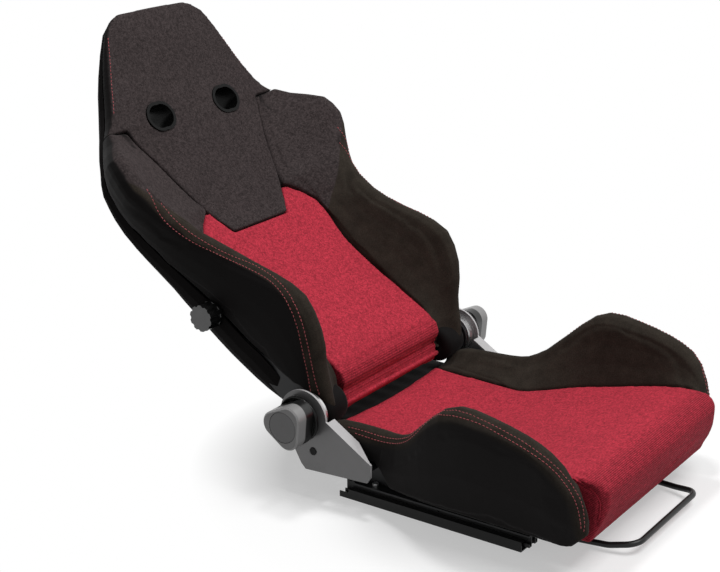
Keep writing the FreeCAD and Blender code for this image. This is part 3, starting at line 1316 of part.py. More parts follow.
os.makedirs("parts", exist_ok=True)
for part in subparts:
    shape = part.Shape
    if shape.isNull() or not shape.isValid() or shape.Volume <= 0:
        raise ValueError("%s has no valid solid" % part.Label)
for part in subparts:
    part.Shape.exportStep("parts/%s.step" % part.Label)
    print("%-28s %2d solids %10.0f mm3" % (part.Label, len(part.Shape.Solids), part.Shape.Volume))
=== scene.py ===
import json
from math import cos, pi, radians, sin

import bpy
import numpy as np
from mathutils import Matrix, Vector
from mathutils.bvhtree import BVHTree
from mathutils.kdtree import KDTree


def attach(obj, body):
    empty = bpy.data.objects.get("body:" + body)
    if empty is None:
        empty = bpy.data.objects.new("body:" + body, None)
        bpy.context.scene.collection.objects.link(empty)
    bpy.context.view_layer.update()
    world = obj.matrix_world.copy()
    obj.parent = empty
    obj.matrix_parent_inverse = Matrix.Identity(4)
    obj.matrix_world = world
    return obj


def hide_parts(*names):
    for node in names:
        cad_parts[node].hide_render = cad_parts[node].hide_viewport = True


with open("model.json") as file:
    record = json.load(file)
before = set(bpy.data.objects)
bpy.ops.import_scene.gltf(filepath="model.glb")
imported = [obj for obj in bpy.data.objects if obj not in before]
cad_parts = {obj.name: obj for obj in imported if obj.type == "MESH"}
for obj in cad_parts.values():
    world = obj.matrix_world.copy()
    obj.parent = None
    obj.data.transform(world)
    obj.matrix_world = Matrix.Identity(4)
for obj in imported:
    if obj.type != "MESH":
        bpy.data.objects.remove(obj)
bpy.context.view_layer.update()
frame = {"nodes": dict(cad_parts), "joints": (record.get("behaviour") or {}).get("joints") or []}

# A racing seat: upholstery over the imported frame, in metres, in the frame's own axes.
# +X is the occupant's left, the seat faces -Y, +Z is up.

NODES = frame["nodes"]
SCENE = bpy.context.scene
SIDES = (("right", -1), ("left", 1))


# Camera, placed as the photograph was taken

CAMERA_PLACE = Vector((-2.16335, -1.23512, 1.19817))
CAMERA_AZIMUTH = radians(-55.13)
CAMERA_ELEVATION = radians(18.93)
CAMERA_ROLL = radians(-0.11)
FOCAL_PIXELS = 1599.51
PHOTO_WIDTH = 720
PHOTO_HEIGHT = 572
SENSOR = 36


def camera_axes():
    back = Vector((
        sin(CAMERA_AZIMUTH) * cos(CAMERA_ELEVATION), -cos(CAMERA_AZIMUTH) * cos(CAMERA_ELEVATION),
        sin(CAMERA_ELEVATION)))
    level = Vector((0, 0, 1)).cross(back).normalized()
    right = level * cos(CAMERA_ROLL) + back.cross(level) * sin(CAMERA_ROLL)
    return right, back.cross(right), back


RIGHT, UP, BACKWARD = camera_axes()


def add_camera():
    data = bpy.data.cameras.new("camera")
    data.sensor_width = SENSOR
    data.lens = FOCAL_PIXELS / PHOTO_WIDTH * SENSOR
    data.clip_end = 50
    camera = bpy.data.objects.new("camera", data)
    SCENE.collection.objects.link(camera)
    axes = Matrix((RIGHT, UP, BACKWARD)).transposed().to_4x4()
    camera.matrix_world = Matrix.Translation(CAMERA_PLACE) @ axes
    SCENE.camera = camera


add_camera()

HINGE = next(joint for joint in frame["joints"] if joint["name"] == "recline")
RECLINE = radians(40.94)
# Backrest pieces keep upright coordinates of their own while they are made: x across, y to the rear,
# z up from the hinge
BACK = Matrix.Translation(Vector(HINGE["pos_m"])) @ Matrix.Rotation(-RECLINE, 4, "X")
BASE = Matrix.Identity(4)


# Materials

class Shader:
    """A new material, with short calls for the nodes that it is built from."""

    def __init__(self, name, turn=0.0, **sockets):
        self.material = bpy.data.materials.new(name)
        self.material.use_nodes = True
        self.tree = self.material.node_tree
        self.principled = self.tree.nodes["Principled BSDF"]
        self.place = self.add("TexCoord").outputs["Object"]
        if turn:
            inputs = {"Vector": self.place, "Angle": turn}
            self.place = self.add("VectorRotate", inputs, rotation_type="X_AXIS").outputs[0]
        self.output(**sockets)

    def set(self, node, inputs):
        for key, value in inputs.items():
            if isinstance(value, bpy.types.NodeSocket):
                self.tree.links.new(value, node.inputs[key])
            else:
                node.inputs[key].default_value = value

    def add(self, kind, inputs=None, **settings):
        node = self.tree.nodes.new("ShaderNode" + kind)
        for key, value in settings.items():
            setattr(node, key, value)
        self.set(node, inputs or {})
        return node

    def math(self, operation, first, second=0.0):
        return self.add("Math", {0: first, 1: second}, operation=operation).outputs[0]

    def dot(self, vector, axis):
        return self.add("VectorMath", {0: vector, 1: axis}, operation="DOT_PRODUCT").outputs["Value"]

    def scaled(self, vector, amount):
        return self.add("VectorMath", {0: vector, "Scale": amount}, operation="SCALE").outputs[0]

    def noise(self, scale, detail=2.0, roughness=0.5, place=None):
        inputs = {"Vector": place or self.place, "Scale": scale, "Detail": detail, "Roughness": roughness}
        return self.add("TexNoise", inputs).outputs["Fac"]

    def spread(self, value, low, high, start=0.0, end=1.0):
        """A value between low and high, spread over start to end."""
        inputs = {"Value": value, "From Min": low, "From Max": high, "To Min": start, "To Max": end}
        return self.add("MapRange", inputs).outputs["Result"]

    def blend(self, factor, first, second):
        inputs = {0: factor, 6: first, 7: second}
        return self.add("Mix", inputs, data_type="RGBA").outputs[2]

    def mark(self, name):
        return self.add("Attribute", attribute_name=name).outputs["Fac"]

    def bump(self, height, distance, strength=1.0):
        node = self.add("Bump", {"Height": height, "Distance": distance, "Strength": strength})
        self.set(self.principled, {"Normal": node.outputs["Normal"]})

    def output(self, **sockets):
        self.set(self.principled, {key.replace("_", " "): value for key, value in sockets.items()})


def colour(red, green, blue):
    return (red, green, blue, 1.0)


# Size of a knitted loop, how much of the mottle comes from the loops, and the distance between ribs
KNIT_CELL = 0.0025
LOOP_SHARE = 0.55
RIB_PITCH = 0.0040


def knit(shader, tone, speckle, rib_axis):
    """Loops of knitted yarn: a small irregular cell for each, lighter or darker than the next, and rows of
    them that show as ribs where the mesh says so, with painted shade in the gaps between loops and deeper
    painted shade in the troughs of the ribs. Gives the colour and the height."""
    cells = shader.add("TexVoronoi", {"Vector": shader.place, "Scale": 1 / KNIT_CELL, "Randomness": 0.85})
    chance = shader.add("SeparateColor", {0: cells.outputs["Color"]}).outputs[0]
    yarn = shader.noise(0.35 / KNIT_CELL, 3.0, 0.65)
    strands = shader.spread(yarn, 0.25, 0.75, 0.0, 1 - LOOP_SHARE)
    level = shader.math("ADD", shader.math("MULTIPLY", chance, LOOP_SHARE), strands)
    between = shader.spread(cells.outputs["Distance"], 0.15, 0.75)
    phase = shader.math("MULTIPLY", shader.dot(shader.place, rib_axis), 2 * pi / RIB_PITCH)
    rows = shader.math("MULTIPLY", shader.spread(shader.math("SINE", phase), -1.0, 1.0), shader.mark("rib"))
    gain = shader.spread(level, 0.0, 1.0, 1 - speckle, 1 + speckle)
    # Painted shade: darker in the gaps between loops, and much darker in the troughs of the ribs
    gain = shader.math("MULTIPLY", gain, shader.spread(between, 0.0, 1.0, 1.08, 0.86))
    gain = shader.math("MULTIPLY", gain, shader.spread(rows, 0.0, 1.0, 1.1, 0.5))
    gain = shader.math("MULTIPLY", gain, shader.spread(shader.noise(9.0), 0.3, 0.7, 0.95, 1.05))
    height = shader.math("SUBTRACT", shader.spread(between, 0.0, 1.0, 1.0, 0.0), rows)
    return shader.scaled(tone, gain), height


RED_KNIT_TONE = (0.395, 0.028, 0.047)
BLACK_KNIT_TONE = (0.041, 0.0325, 0.0325)
SUEDE_TONE = (0.030, 0.0245, 0.0195)
# Painted shade: the plain side cover on the backrest is about half as light as the same cover on the base
PLAIN_BACK_SHADED_TONE = (0.0062, 0.0054, 0.0054)
PLAIN_BASE_TONE = (0.0130, 0.0118, 0.0118)
RECESS_SHADE_TONE = (0.006, 0.006, 0.006)


def red_cloth(name, turn, rib_axis):
    shader = Shader(name, turn, Sheen_Weight=0.12, Sheen_Roughness=0.45, Sheen_Tint=colour(0.9, 0.25, 0.3),
                    Specular_IOR_Level=0.12, Roughness=0.85)
    tone, height = knit(shader, RED_KNIT_TONE, 0.5, rib_axis)
    shader.output(Base_Color=tone)
    shader.bump(height, 0.0005, 0.7)
    return shader.material


def black_cloth(name, turn, plain_tone):
    """Knit on the faces, suede on the ridges and a plain dark cover on the outer sides, as the mesh says."""
    shader = Shader(name, turn, Sheen_Weight=0.03, Sheen_Roughness=0.4, Specular_IOR_Level=0.06)
    faces, loops = knit(shader, BLACK_KNIT_TONE, 0.6, (0, 0, 1))
    nap = shader.noise(520.0, 3.0, 0.6)
    brushed = shader.noise(38.0, 3.0, 0.6)
    fine = shader.spread(nap, 0.3, 0.7, 0.7, 1.3)
    gain = shader.math("MULTIPLY", fine, shader.spread(brushed, 0.3, 0.7, 0.8, 1.2))
    ridges = shader.scaled(SUEDE_TONE, gain)
    grain = shader.noise(900.0, 3.0, 0.6)
    sides = shader.scaled(plain_tone, shader.spread(grain, 0.3, 0.7, 0.85, 1.15))
    suede = shader.mark("suede")
    plain = shader.mark("side")
    tone = shader.blend(plain, shader.blend(suede, faces, ridges), sides)
    rough = shader.spread(plain, 0.0, 1.0, 0.9, 0.72)
    shader.output(Base_Color=tone, Roughness=rough)
    height = shader.add("Mix", {0: suede, 2: loops, 3: nap}).outputs[0]
    height = shader.add("Mix", {0: plain, 2: height, 3: grain}).outputs[0]
    shader.bump(height, 0.0003, 0.5)
    return shader.material


def hard(name, tone, roughness, grain, grain_depth, metal=0.0, coat=0.0, specular=0.5, face=None, shade_root=None):
    """Paint, powder coat or moulded plastic: fine grain in the surface, uneven gloss and tone. A face is a
    different tone for what looks sideways: the lumbar knob's own grey face, but on the bracket and the grey
    knob the pair paints light, the main tone painted highlight and the face tone painted shade. Nearer to
    the middle of the seat than the given distance it is black, painted shade in the recess about the knob's
    base."""
    variation = 0.12
    shader = Shader(name, Metallic=metal, Coat_Weight=coat, Coat_Roughness=0.15, Specular_IOR_Level=specular)
    cloud = shader.noise(14.0, 4.0, 0.6)
    fine = shader.noise(grain, 3.0, 0.6)
    tones = shader.spread(cloud, 0.3, 0.7, 1 - variation, 1 + variation)
    base = tone[:3]
    # On the bracket and the grey knob this blend is painted light: painted highlight off the sideways faces,
    # painted shade on them
    if face:
        normal = shader.add("TexCoord").outputs["Normal"]
        sideways = shader.spread(shader.math("ABSOLUTE", shader.dot(normal, (1, 0, 0))), 0.85, 0.95)
        base = shader.blend(sideways, tone, face)
    # Painted shade: black nearer the middle of the seat, for the recess about the knob's base
    if shade_root:
        out = shader.math("ABSOLUTE", shader.dot(shader.place, (1, 0, 0)))
        base = shader.blend(shader.spread(out, shade_root, shade_root + 0.001), colour(*RECESS_SHADE_TONE), base)
    rough = shader.math("ADD", shader.spread(cloud, 0.3, 0.7, roughness - 0.05, roughness + 0.05),
                        shader.spread(fine, 0.3, 0.7, -0.04, 0.04))
    shader.output(Base_Color=shader.scaled(base, tones), Roughness=rough)
    shader.bump(fine, grain_depth, 0.5)
    return shader.material


RED_BACK = red_cloth("red_knit_back", RECLINE, (0, 0, 1))
RED_BASE = red_cloth("red_knit_base", 0.0, (0, 1, 1))
BLACK_BACK = black_cloth("black_cloth_back", RECLINE, PLAIN_BACK_SHADED_TONE)
BLACK_BASE = black_cloth("black_cloth_base", 0.0, PLAIN_BASE_TONE)
THREAD = hard("red_thread", colour(0.42, 0.10, 0.11), 0.7, 3000.0, 0.0001, specular=0.2)
FINISHES = {
    "rail_black": hard("rail_paint", colour(0.009, 0.009, 0.009), 0.34, 900.0, 0.00005, specular=0.3),
    "frame_steel": hard("frame_paint", colour(0.012, 0.012, 0.013), 0.45, 900.0, 0.00005, specular=0.3),
    # Painted highlight: everything but the sideways plate, the flange above all, is painted far lighter than
    # the same powder coat on the plate
    "bracket_grey": hard("powder_coat_painted_highlight", colour(0.46, 0.45, 0.455), 0.33, 1800.0, 0.0001, coat=0.4,
                         face=colour(0.165, 0.161, 0.163)),
    "bare_steel": hard("zinc_steel", colour(0.6, 0.6, 0.6), 0.3, 1200.0, 0.00004, metal=1.0),
    # Painted light: the lobes are painted lighter as painted highlight, the sideways face darker as painted
    # shade, and the part near the bezel black as painted shade in the recess
    "knob_grey": hard("knob_plastic_painted_light", colour(0.27, 0.266, 0.266), 0.34, 1500.0, 0.00006,
                      face=colour(0.19, 0.187, 0.187), shade_root=0.2755),
    "bezel_black": hard("bezel_plastic", colour(0.005, 0.005, 0.005), 0.25, 1500.0, 0.00005, specular=0.15),
    "knob_black": hard("gloss_plastic", colour(0.006, 0.006, 0.006), 0.2, 1500.0, 0.00002, specular=0.3,
                       face=colour(0.2, 0.2, 0.2)),
    "slot_gloss": hard("sleeve_plastic", colour(0.003, 0.003, 0.003), 0.32, 1500.0, 0.00002, specular=0.12),
    "shell_black": hard("shell_cover", colour(0.0066, 0.0058, 0.0058), 0.85, 700.0, 0.0002, specular=0.06),
}
CAP = hard("cap_plastic", colour(0.105, 0.103, 0.104), 0.3, 1500.0, 0.00006)

for node, thing in NODES.items():
    if not thing.material_slots:
        thing.data.materials.append(FINISHES["frame_steel"])
    for material_slot in thing.material_slots:
        name = material_slot.material.name.split(".")[0] if material_slot.material else ""
        material_slot.material = FINISHES.get(name, FINISHES["frame_steel"])
        if node.startswith("recline_cap"):
            material_slot.material = CAP


# Mesh tools

def new_piece(name, mesh, place=Matrix.Identity(4)):
    thing = bpy.data.objects.new(name, mesh)
    SCENE.collection.objects.link(thing)
    thing.matrix_world = place
    return thing


def with_modifier(thing, kind, **settings):
    """Apply one modifier to the mesh."""
    modifier = thing.modifiers.new(kind.lower(), kind)
    for key, value in settings.items():
        setattr(modifier, key, value)
    bpy.context.view_layer.update()
    shaped = bpy.data.meshes.new_from_object(thing.evaluated_get(bpy.context.evaluated_depsgraph_get()))
    thing.modifiers.remove(modifier)
    thing.data = shaped


def points_of(mesh):
    flat = np.empty(len(mesh.vertices) * 3)
    mesh.vertices.foreach_get("co", flat)
    return flat.reshape(-1, 3)


def set_points(mesh, points):
    mesh.vertices.foreach_set("co", points.ravel())
    mesh.update()


def normals_of(mesh):
    flat = np.empty(len(mesh.vertices) * 3)
    mesh.vertex_normals.foreach_get("vector", flat)
    return flat.reshape(-1, 3)


def relax(mesh, rounds):
    """Even the surface out without shrinking it: each round moves in and then back out a little more."""
    edges = np.empty(len(mesh.edges) * 2, int)
    mesh.edges.foreach_get("vertices", edges)
    first, second = edges.reshape(-1, 2).T
    points = points_of(mesh)
    count = len(points)
    degree = np.bincount(edges, minlength=count)
    for turn in range(2 * rounds):
        share = 0.5 if turn % 2 == 0 else -0.52
        total = np.empty_like(points)
        for axis in range(3):
            column = points[:, axis]
            total[:, axis] = (
                np.bincount(first, column[second], count) + np.bincount(second, column[first], count))
        points = points + share * (total / degree[:, None] - points)
    set_points(mesh, points)


def hold_near(mesh, foam, inside, outside):
    """Keep every point within these distances of the foam's surface."""
    points = points_of(mesh)
    normals = normals_of(mesh)
    for k, point in enumerate(points):
        nearest = foam.find_nearest(point)[0]
        away = point - np.array(nearest)
        distance = np.linalg.norm(away)
        limit = outside if away @ normals[k] > 0 else inside
        if distance > limit:
            points[k] = nearest + Vector(away * (limit / distance))
    set_points(mesh, points)


def swell(thing, cap, pressure=4.0, frames=20):
    """Blow the cover up with cloth physics, so that it bows between its edges, no point past the cap."""
    start = points_of(thing.data)
    modifier = thing.modifiers.new("cloth", "CLOTH")
    cloth = modifier.settings
    cloth.use_pressure = True
    cloth.uniform_pressure_force = pressure
    cloth.effector_weights.gravity = 0.0
    cloth.tension_stiffness = 25.0
    cloth.compression_stiffness = 25.0
    cloth.bending_stiffness = 2.0
    modifier.point_cache.frame_end = frames
    for step in range(1, frames + 1):
        SCENE.frame_set(step)
    shaped = bpy.data.meshes.new_from_object(thing.evaluated_get(bpy.context.evaluated_depsgraph_get()))
    thing.modifiers.remove(modifier)
    SCENE.frame_set(1)
    moved = points_of(shaped) - start
    length = np.linalg.norm(moved, axis=1)
    moved *= np.minimum(1.0, cap / np.maximum(length, 1e-9))[:, None]
    set_points(thing.data, start + moved)
    bpy.data.meshes.remove(shaped)


def point_tree(points):
    tree = KDTree(len(points))
    for k, point in enumerate(points):
        tree.insert(point, k)
    tree.balance()
    return tree


def near_path(points, path, reach):
    """For each point, its distance to a path of close points, or more than the reach."""
    tree = point_tree(path)
    path = np.array(path)
    low = path.min(0) - reach
    high = path.max(0) + reach
    distance = np.full(len(points), 10 * reach)
    for k in np.flatnonzero(((points > low) & (points < high)).all(1)):
        distance[k] = tree.find(points[k])[2]
    return distance


def groove(thing, path, depth, width):
    """Draw the surface in along a seam."""
    mesh = thing.data
    points = points_of(mesh)
    distance = near_path(points, dense(path), 3 * width)
    set_points(mesh, points - normals_of(mesh) * (depth * np.exp(-(distance / width) ** 2))[:, None])


def dense(path, step=0.0015):
    """The same path with points no further apart than the step."""
    result = []
    for a, b in zip(path, path[1:]):
        count = max(1, int((b - a).length / step))
        result += [a.lerp(b, k / count) for k in range(count)]
    return result + [path[-1]]


def smooth_line(path, rounds=24):
    """The path with even steps and its small kinks worn off."""
    line = np.array(dense(path, 0.004))
    for _ in range(rounds):
        line[1:-1] = (line[:-2] + 2 * line[1:-1] + line[2:]) / 4
    return [Vector(point) for point in line]


def tree_of(thing):
    mesh = thing.data
    return BVHTree.FromPolygons([v.co for v in mesh.vertices], [tuple(p.vertices) for p in mesh.polygons])


def on_surface(thing, path):
    """The path laid on the surface of a piece, with the normal at each point."""
    tree = tree_of(thing)
    return [tree.find_nearest(point)[:2] for point in path]


def seen(thing, pixels):
    """Where the camera sees these pixels of the photograph on a piece, in the piece's own coordinates."""
    tree = tree_of(thing)
    into = thing.matrix_world.inverted()
    eye = into @ CAMERA_PLACE
    path = []
    for across, down in pixels:
        sight = RIGHT * (across - PHOTO_WIDTH / 2) + UP * (PHOTO_HEIGHT / 2 - down) - BACKWARD * FOCAL_PIXELS
        place = tree.ray_cast(eye, (into.to_3x3() @ sight).normalized())[0]
        if place:
            path.append(place)
    return path


def mirrored(path):
    return [Vector((-point.x, point.y, point.z)) for point in path]


def tape(vertices, faces, sides, rings):
    """Add the faces of a tube whose rings are the last vertices, with closed ends."""
    base = len(vertices) - rings * sides
    for k in range(rings - 1):
        for side in range(sides):
            a = base + k * sides + side
            b = base + k * sides + (side + 1) % sides
            faces.append((a, b, b + sides, a + sides))
    faces.append(tuple(base + side for side in reversed(range(sides))))
    faces.append(tuple(base + (rings - 1) * sides + side for side in range(sides)))


def finished(name, vertices, faces, material, body, place):
    """A piece from its points, in the frame's own axes."""
    mesh = bpy.data.meshes.new(name)
    mesh.from_pydata(vertices, [], faces)
    mesh.transform(place)
    mesh.materials.append(material)
    mesh.polygons.foreach_set("use_smooth", np.ones(len(mesh.polygons), bool))
    piece = new_piece(name, mesh)
    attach(piece, body)
    return piece


STITCH_PITCH = 0.0066
STITCH_LENGTH = 0.0046
STITCH_RADIUS = 0.00065


def stitches(name, thing, path, body):
    """A row of sewn stitches on a piece: each a short bowed thread that dips in at both ends."""
    laid = on_surface(thing, dense(path, 0.0008))
    places = [place for place, _ in laid]
    steps = np.array([0] + [(b - a).length for a, b in zip(places, places[1:])]).cumsum()
    vertices, faces = [], []
    rings, sides = 5, 6
    start = STITCH_PITCH / 2
    while start + STITCH_LENGTH < steps[-1]:
        centres = []
        for k in range(rings):
            pick = int(np.searchsorted(steps, start + STITCH_LENGTH * k / (rings - 1)))
            place, normal = laid[min(pick, len(laid) - 1)]
            bow = sin(pi * k / (rings - 1))
            centres.append((place + normal * STITCH_RADIUS * (1.5 * bow - 0.7), normal))
        heading = (centres[-1][0] - centres[0][0]).normalized()
        for k, (centre, normal) in enumerate(centres):
            across = heading.cross(normal).normalized()
            girth = STITCH_RADIUS * (0.7 if k in (0, rings - 1) else 1.0)
            for side in range(sides):
                angle = 2 * pi * side / sides
                vertices.append(centre + (across * cos(angle) + normal * sin(angle)) * girth)
        tape(vertices, faces, sides, rings)
        start += STITCH_PITCH
    return finished(name, vertices, faces, THREAD, body, thing.matrix_world)


def piping(name, thing, path, radius, body):
    """A thin sewn cord of the cover's own cloth along a seam."""
    laid = on_surface(thing, dense(path, 0.003))
    vertices, faces = [], []
    sides = 8
    for k, (place, normal) in enumerate(laid):
        heading = (laid[min(k + 1, len(laid) - 1)][0] - laid[max(k - 1, 0)][0]).normalized()
        across = heading.cross(normal).normalized()
        for side in range(sides):
            angle = 2 * pi * side / sides
            vertices.append(place + (across * cos(angle) + normal * (sin(angle) + 0.4)) * radius)
    tape(vertices, faces, sides, len(laid))
    return finished(name, vertices, faces, RED_BASE, body, thing.matrix_world)


def turned(name, middle_y, middle_z, side, profile, material, body, hollow=False):
    """A piece turned about an axis along X from its profile, which gives how far out and the radius."""
    sides = 72
    vertices, faces = [], []
    for out, radius in profile:
        for k in range(sides):
            angle = 2 * pi * k / sides
            place = (side * out, middle_y + radius * cos(angle), middle_z + radius * sin(angle) * side)
            vertices.append(Vector(place))
    tape(vertices, faces, sides, len(profile))
    if hollow:
        last = len(vertices) - sides
        faces = faces[:-2] + [(last + k, last + (k + 1) % sides, (k + 1) % sides, k) for k in range(sides)]
    return finished(name, vertices, faces, material, body, BASE)


# Upholstered pieces, each grown from its foam solid

# How far a cover may lie inside and outside its foam, and how much smaller it starts before it is blown up
SLACK = 0.0015
PROUD = 0.0009
SHRINK = 0.003


def upholster(node, name, place, voxel, rounds, cap=0.0):
    """Soft cover in the space of a foam solid: remeshed, rounded, blown up against its edges and refined."""
    mesh = NODES[node].data.copy()
    mesh.materials.clear()
    mesh.transform(place.inverted())
    thing = new_piece(name, mesh, place)
    foam = tree_of(thing)
    with_modifier(thing, "REMESH", mode="VOXEL", voxel_size=voxel)
    relax(thing.data, rounds)
    hold_near(thing.data, foam, SLACK, PROUD)
    if cap:
        set_points(thing.data, points_of(thing.data) - normals_of(thing.data) * SHRINK)
        swell(thing, cap)
        relax(thing.data, 2)
        hold_near(thing.data, foam, SLACK, PROUD)
    relax(thing.data, 2)
    with_modifier(thing, "SUBSURF", levels=1, render_levels=1)
    relax(thing.data, 4)
    hold_near(thing.data, foam, SLACK, PROUD)
    relax(thing.data, 3)
    return thing


def finish_soft(thing, node, body, material):
    """Leave the mesh in the frame's own axes, give it its material and body, and hide the foam node."""
    mesh = thing.data
    mesh.transform(thing.matrix_world)
    thing.matrix_world = Matrix.Identity(4)
    mesh.materials.clear()
    mesh.materials.append(material)
    mesh.polygons.foreach_set("use_smooth", np.ones(len(mesh.polygons), bool))
    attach(thing, body)
    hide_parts(node)


def mark(thing, name, values):
    attribute = thing.data.attributes.new(name, "FLOAT", "POINT")
    attribute.data.foreach_set("value", np.clip(values, 0.0, 1.0).astype(np.float32))


def beyond(points, path):
    """How far each point lies behind or below a line that runs down or forwards, in side view."""
    line = np.array(dense(path, 0.002))
    line[:, 0] = 0
    heading = np.gradient(line, axis=0)
    heading /= np.linalg.norm(heading, axis=1)[:, None]
    tree = point_tree(line)
    flat = points * (0, 1, 1)
    picks = np.array([tree.find(point)[1] for point in flat])
    away = flat - line[picks]
    return heading[picks, 1] * away[:, 2] - heading[picks, 2] * away[:, 1]


def mark_side(thing, path, side, fade):
    """Mark the outward part of a piece beyond a line, for the plain side cover."""
    points = points_of(thing.data)
    normals = normals_of(thing.data)
    outward = np.clip(normals[:, 0] * side * 4 + 1.2, 0, 1)
    rearward = np.clip((normals[:, 0] * side + normals[:, 1] - 0.2) * 4, 0, 1) * (points[:, 2] > UPPER_WING)
    mark(thing, "side", np.maximum(np.clip(beyond(points, path) / fade, 0, 1) * outward, rearward))


def middle(first, second):
    """The line halfway between two rows."""
    tree = point_tree(second)
    return [(point + tree.find(point)[0]) / 2 for point in first]


# Pixels of the photograph that the two stitch rows of the near wing pass, from the top down, the edge of the
# knit above them, the rows of the near base bolster from the rear, and the row beside the head
WING_EDGE_PIXELS = ((112.7, 119), (114, 137), (120, 148), (127, 160), (137, 172.5))
WING_OUTER_PIXELS = (
    (146, 187), (152, 200), (158, 213), (165, 223), (176, 232), (189, 241), (206, 249), (223, 257),
    (239, 264), (256, 272), (271, 281), (281, 291), (288, 302), (294, 316), (299, 332), (302, 349),
    (306, 366), (310, 387), (312, 398))
WING_INNER_PIXELS = (
    (160, 201), (166, 211), (176, 221), (189, 232), (206, 243), (223, 252), (239, 259), (256, 265),
    (272, 276), (283, 285), (292, 298), (299, 312), (304, 329), (308, 346), (311, 362), (315, 382),
    (320, 397))
BASE_INNER_PIXELS = (
    (346, 426.5), (357, 429), (369, 432.5), (382, 437), (392.5, 438.5), (403, 438.5), (408.5, 437),
    (414, 433.5), (419, 427.5), (436, 413.5), (446, 410.5), (455, 410.5), (466, 413), (480, 419),
    (494, 425.5), (508.5, 433.5), (523, 441.5), (537, 451.5), (550, 462), (562, 473), (571, 483.5),
    (579, 496), (583.5, 508.5), (585, 523), (583.5, 533.5))
BASE_OUTER_PIXELS = (
    (353, 432.5), (366, 437), (376.5, 440.5), (389, 443.5), (399.5, 443.5), (407, 441), (414, 435.5),
    (421, 428), (428, 420), (435, 416), (445, 415.5), (455, 416), (466, 419), (482, 424.5), (499.5, 434.5),
    (517.5, 444.5), (535.5, 456), (549.5, 466.5), (562, 480), (571, 492.5), (577, 505), (580, 517.5),
    (581, 530), (579, 542.5))
HEAD_PIXELS = ((108, 36), (108, 41), (110, 60), (111, 75), (112, 90), (113.5, 105), (114, 116))
GUSSET_PIXELS = ((573, 478), (577, 481), (590, 489), (600, 497), (601, 504), (598, 520), (592, 541))

# Edge of the knit on a wing in front view: across and up
KNIT_EDGE = ((0.166, 0.324), (0.268, 0.438))
# Above this height, what faces the rear of a wing is side cover too
UPPER_WING = 0.36
WING_VOXEL = 0.0045
CENTRE_VOXEL = 0.0032
PAD_VOXEL = 0.004
CUSHION_VOXEL = 0.005
# How far the cloth simulation may move a point
BOLSTER_CAP = 0.005
CUSHION_CAP = 0.006
ROWS = {}


def rows_of(side, *keys):
    """Rows found on the near side, or their mirror images."""
    return [ROWS[key] if side < 0 else mirrored(ROWS[key]) for key in keys]


def sewn(thing, name, inner, outer, body):
    """The seam between two stitch rows, and the rows."""
    groove(thing, middle(inner, outer), 0.0009, 0.0015)
    for k, row in enumerate((inner, outer)):
        groove(thing, row, 0.0004, 0.0018)
        stitches("%s_stitches_%d" % (name, k + 1), thing, row, body)


def knit_edge(across):
    (near, low), (far, high) = KNIT_EDGE
    return low + (across - near) * (high - low) / (far - near)


def back_wing(suffix, side):
    name = "back_wing_" + suffix
    thing = upholster("back_bolster_" + suffix, name, BACK, WING_VOXEL, 24, BOLSTER_CAP)
    if side < 0:
        ROWS["edge"] = smooth_line(seen(thing, WING_EDGE_PIXELS))
        ROWS["inner"] = smooth_line(seen(thing, WING_INNER_PIXELS))
        ROWS["outer"] = smooth_line(seen(thing, WING_OUTER_PIXELS))
    edge, inner, outer = rows_of(side, "edge", "inner", "outer")
    tree = tree_of(thing)
    knit_seam = []
    for across in np.arange(0.16, 0.27, 0.004):
        place = tree.ray_cast(Vector((side * across, -0.5, knit_edge(across))), Vector((0, 1, 0)))[0]
        if place:
            knit_seam.append(place)
    groove(thing, knit_seam, 0.0008, 0.0013)
    points = points_of(thing.data)
    mark_side(thing, edge + outer, side, 0.0025)
    mark(thing, "suede", (knit_edge(points[:, 0] * side) - points[:, 2]) / 0.0015)
    groove(thing, edge, 0.0008, 0.0013)
    sewn(thing, name, inner, outer, "backrest")
    finish_soft(thing, "back_bolster_" + suffix, "backrest", BLACK_BACK)


def base_wing(suffix, side):
    name = "seat_bolster_" + suffix
    thing = upholster("base_bolster_" + suffix, name, BASE, WING_VOXEL, 24, BOLSTER_CAP)
    if side < 0:
        ROWS["base inner"] = smooth_line(seen(thing, BASE_INNER_PIXELS), 12)
        ROWS["base outer"] = smooth_line(seen(thing, BASE_OUTER_PIXELS), 12)
    inner, outer = rows_of(side, "base inner", "base outer")
    mark_side(thing, outer, side, 0.012)
    mark(thing, "suede", np.ones(len(thing.data.vertices)))
    sewn(thing, name, inner, outer, "seat_base")
    finish_soft(thing, "base_bolster_" + suffix, "seat_base", BLACK_BASE)


for suffix, side in SIDES:
    back_wing(suffix, side)
    base_wing(suffix, side)

centre = upholster("back_centre", "back_centre_cover", BACK, CENTRE_VOXEL, 24)
head_row = smooth_line(seen(centre, HEAD_PIXELS), 12)
points = points_of(centre.data)
normals = normals_of(centre.data)
outward = np.clip(normals[:, 0] * np.sign(points[:, 0]) * 3 - 0.5, 0, 1)
# The side cover starts softly before the row beside the head, and only on the head
HEAD_FOOT = 0.57
past_row = np.clip((beyond(points, head_row) + 0.011) / 0.015, 0, 1)
mark(centre, "side", past_row * outward * (points[:, 2] > HEAD_FOOT))
# The far row lies a little further round the side
FAR_ROW_SHIFT = Vector((0.002, 0.005, 0))
for suffix, side in SIDES:
    row = head_row if side < 0 else [point + FAR_ROW_SHIFT for point in mirrored(head_row)]
    groove(centre, row, 0.0005, 0.0016)
    stitches("head_stitches_" + suffix, centre, row, "backrest")
finish_soft(centre, "back_centre", "backrest", BLACK_BACK)

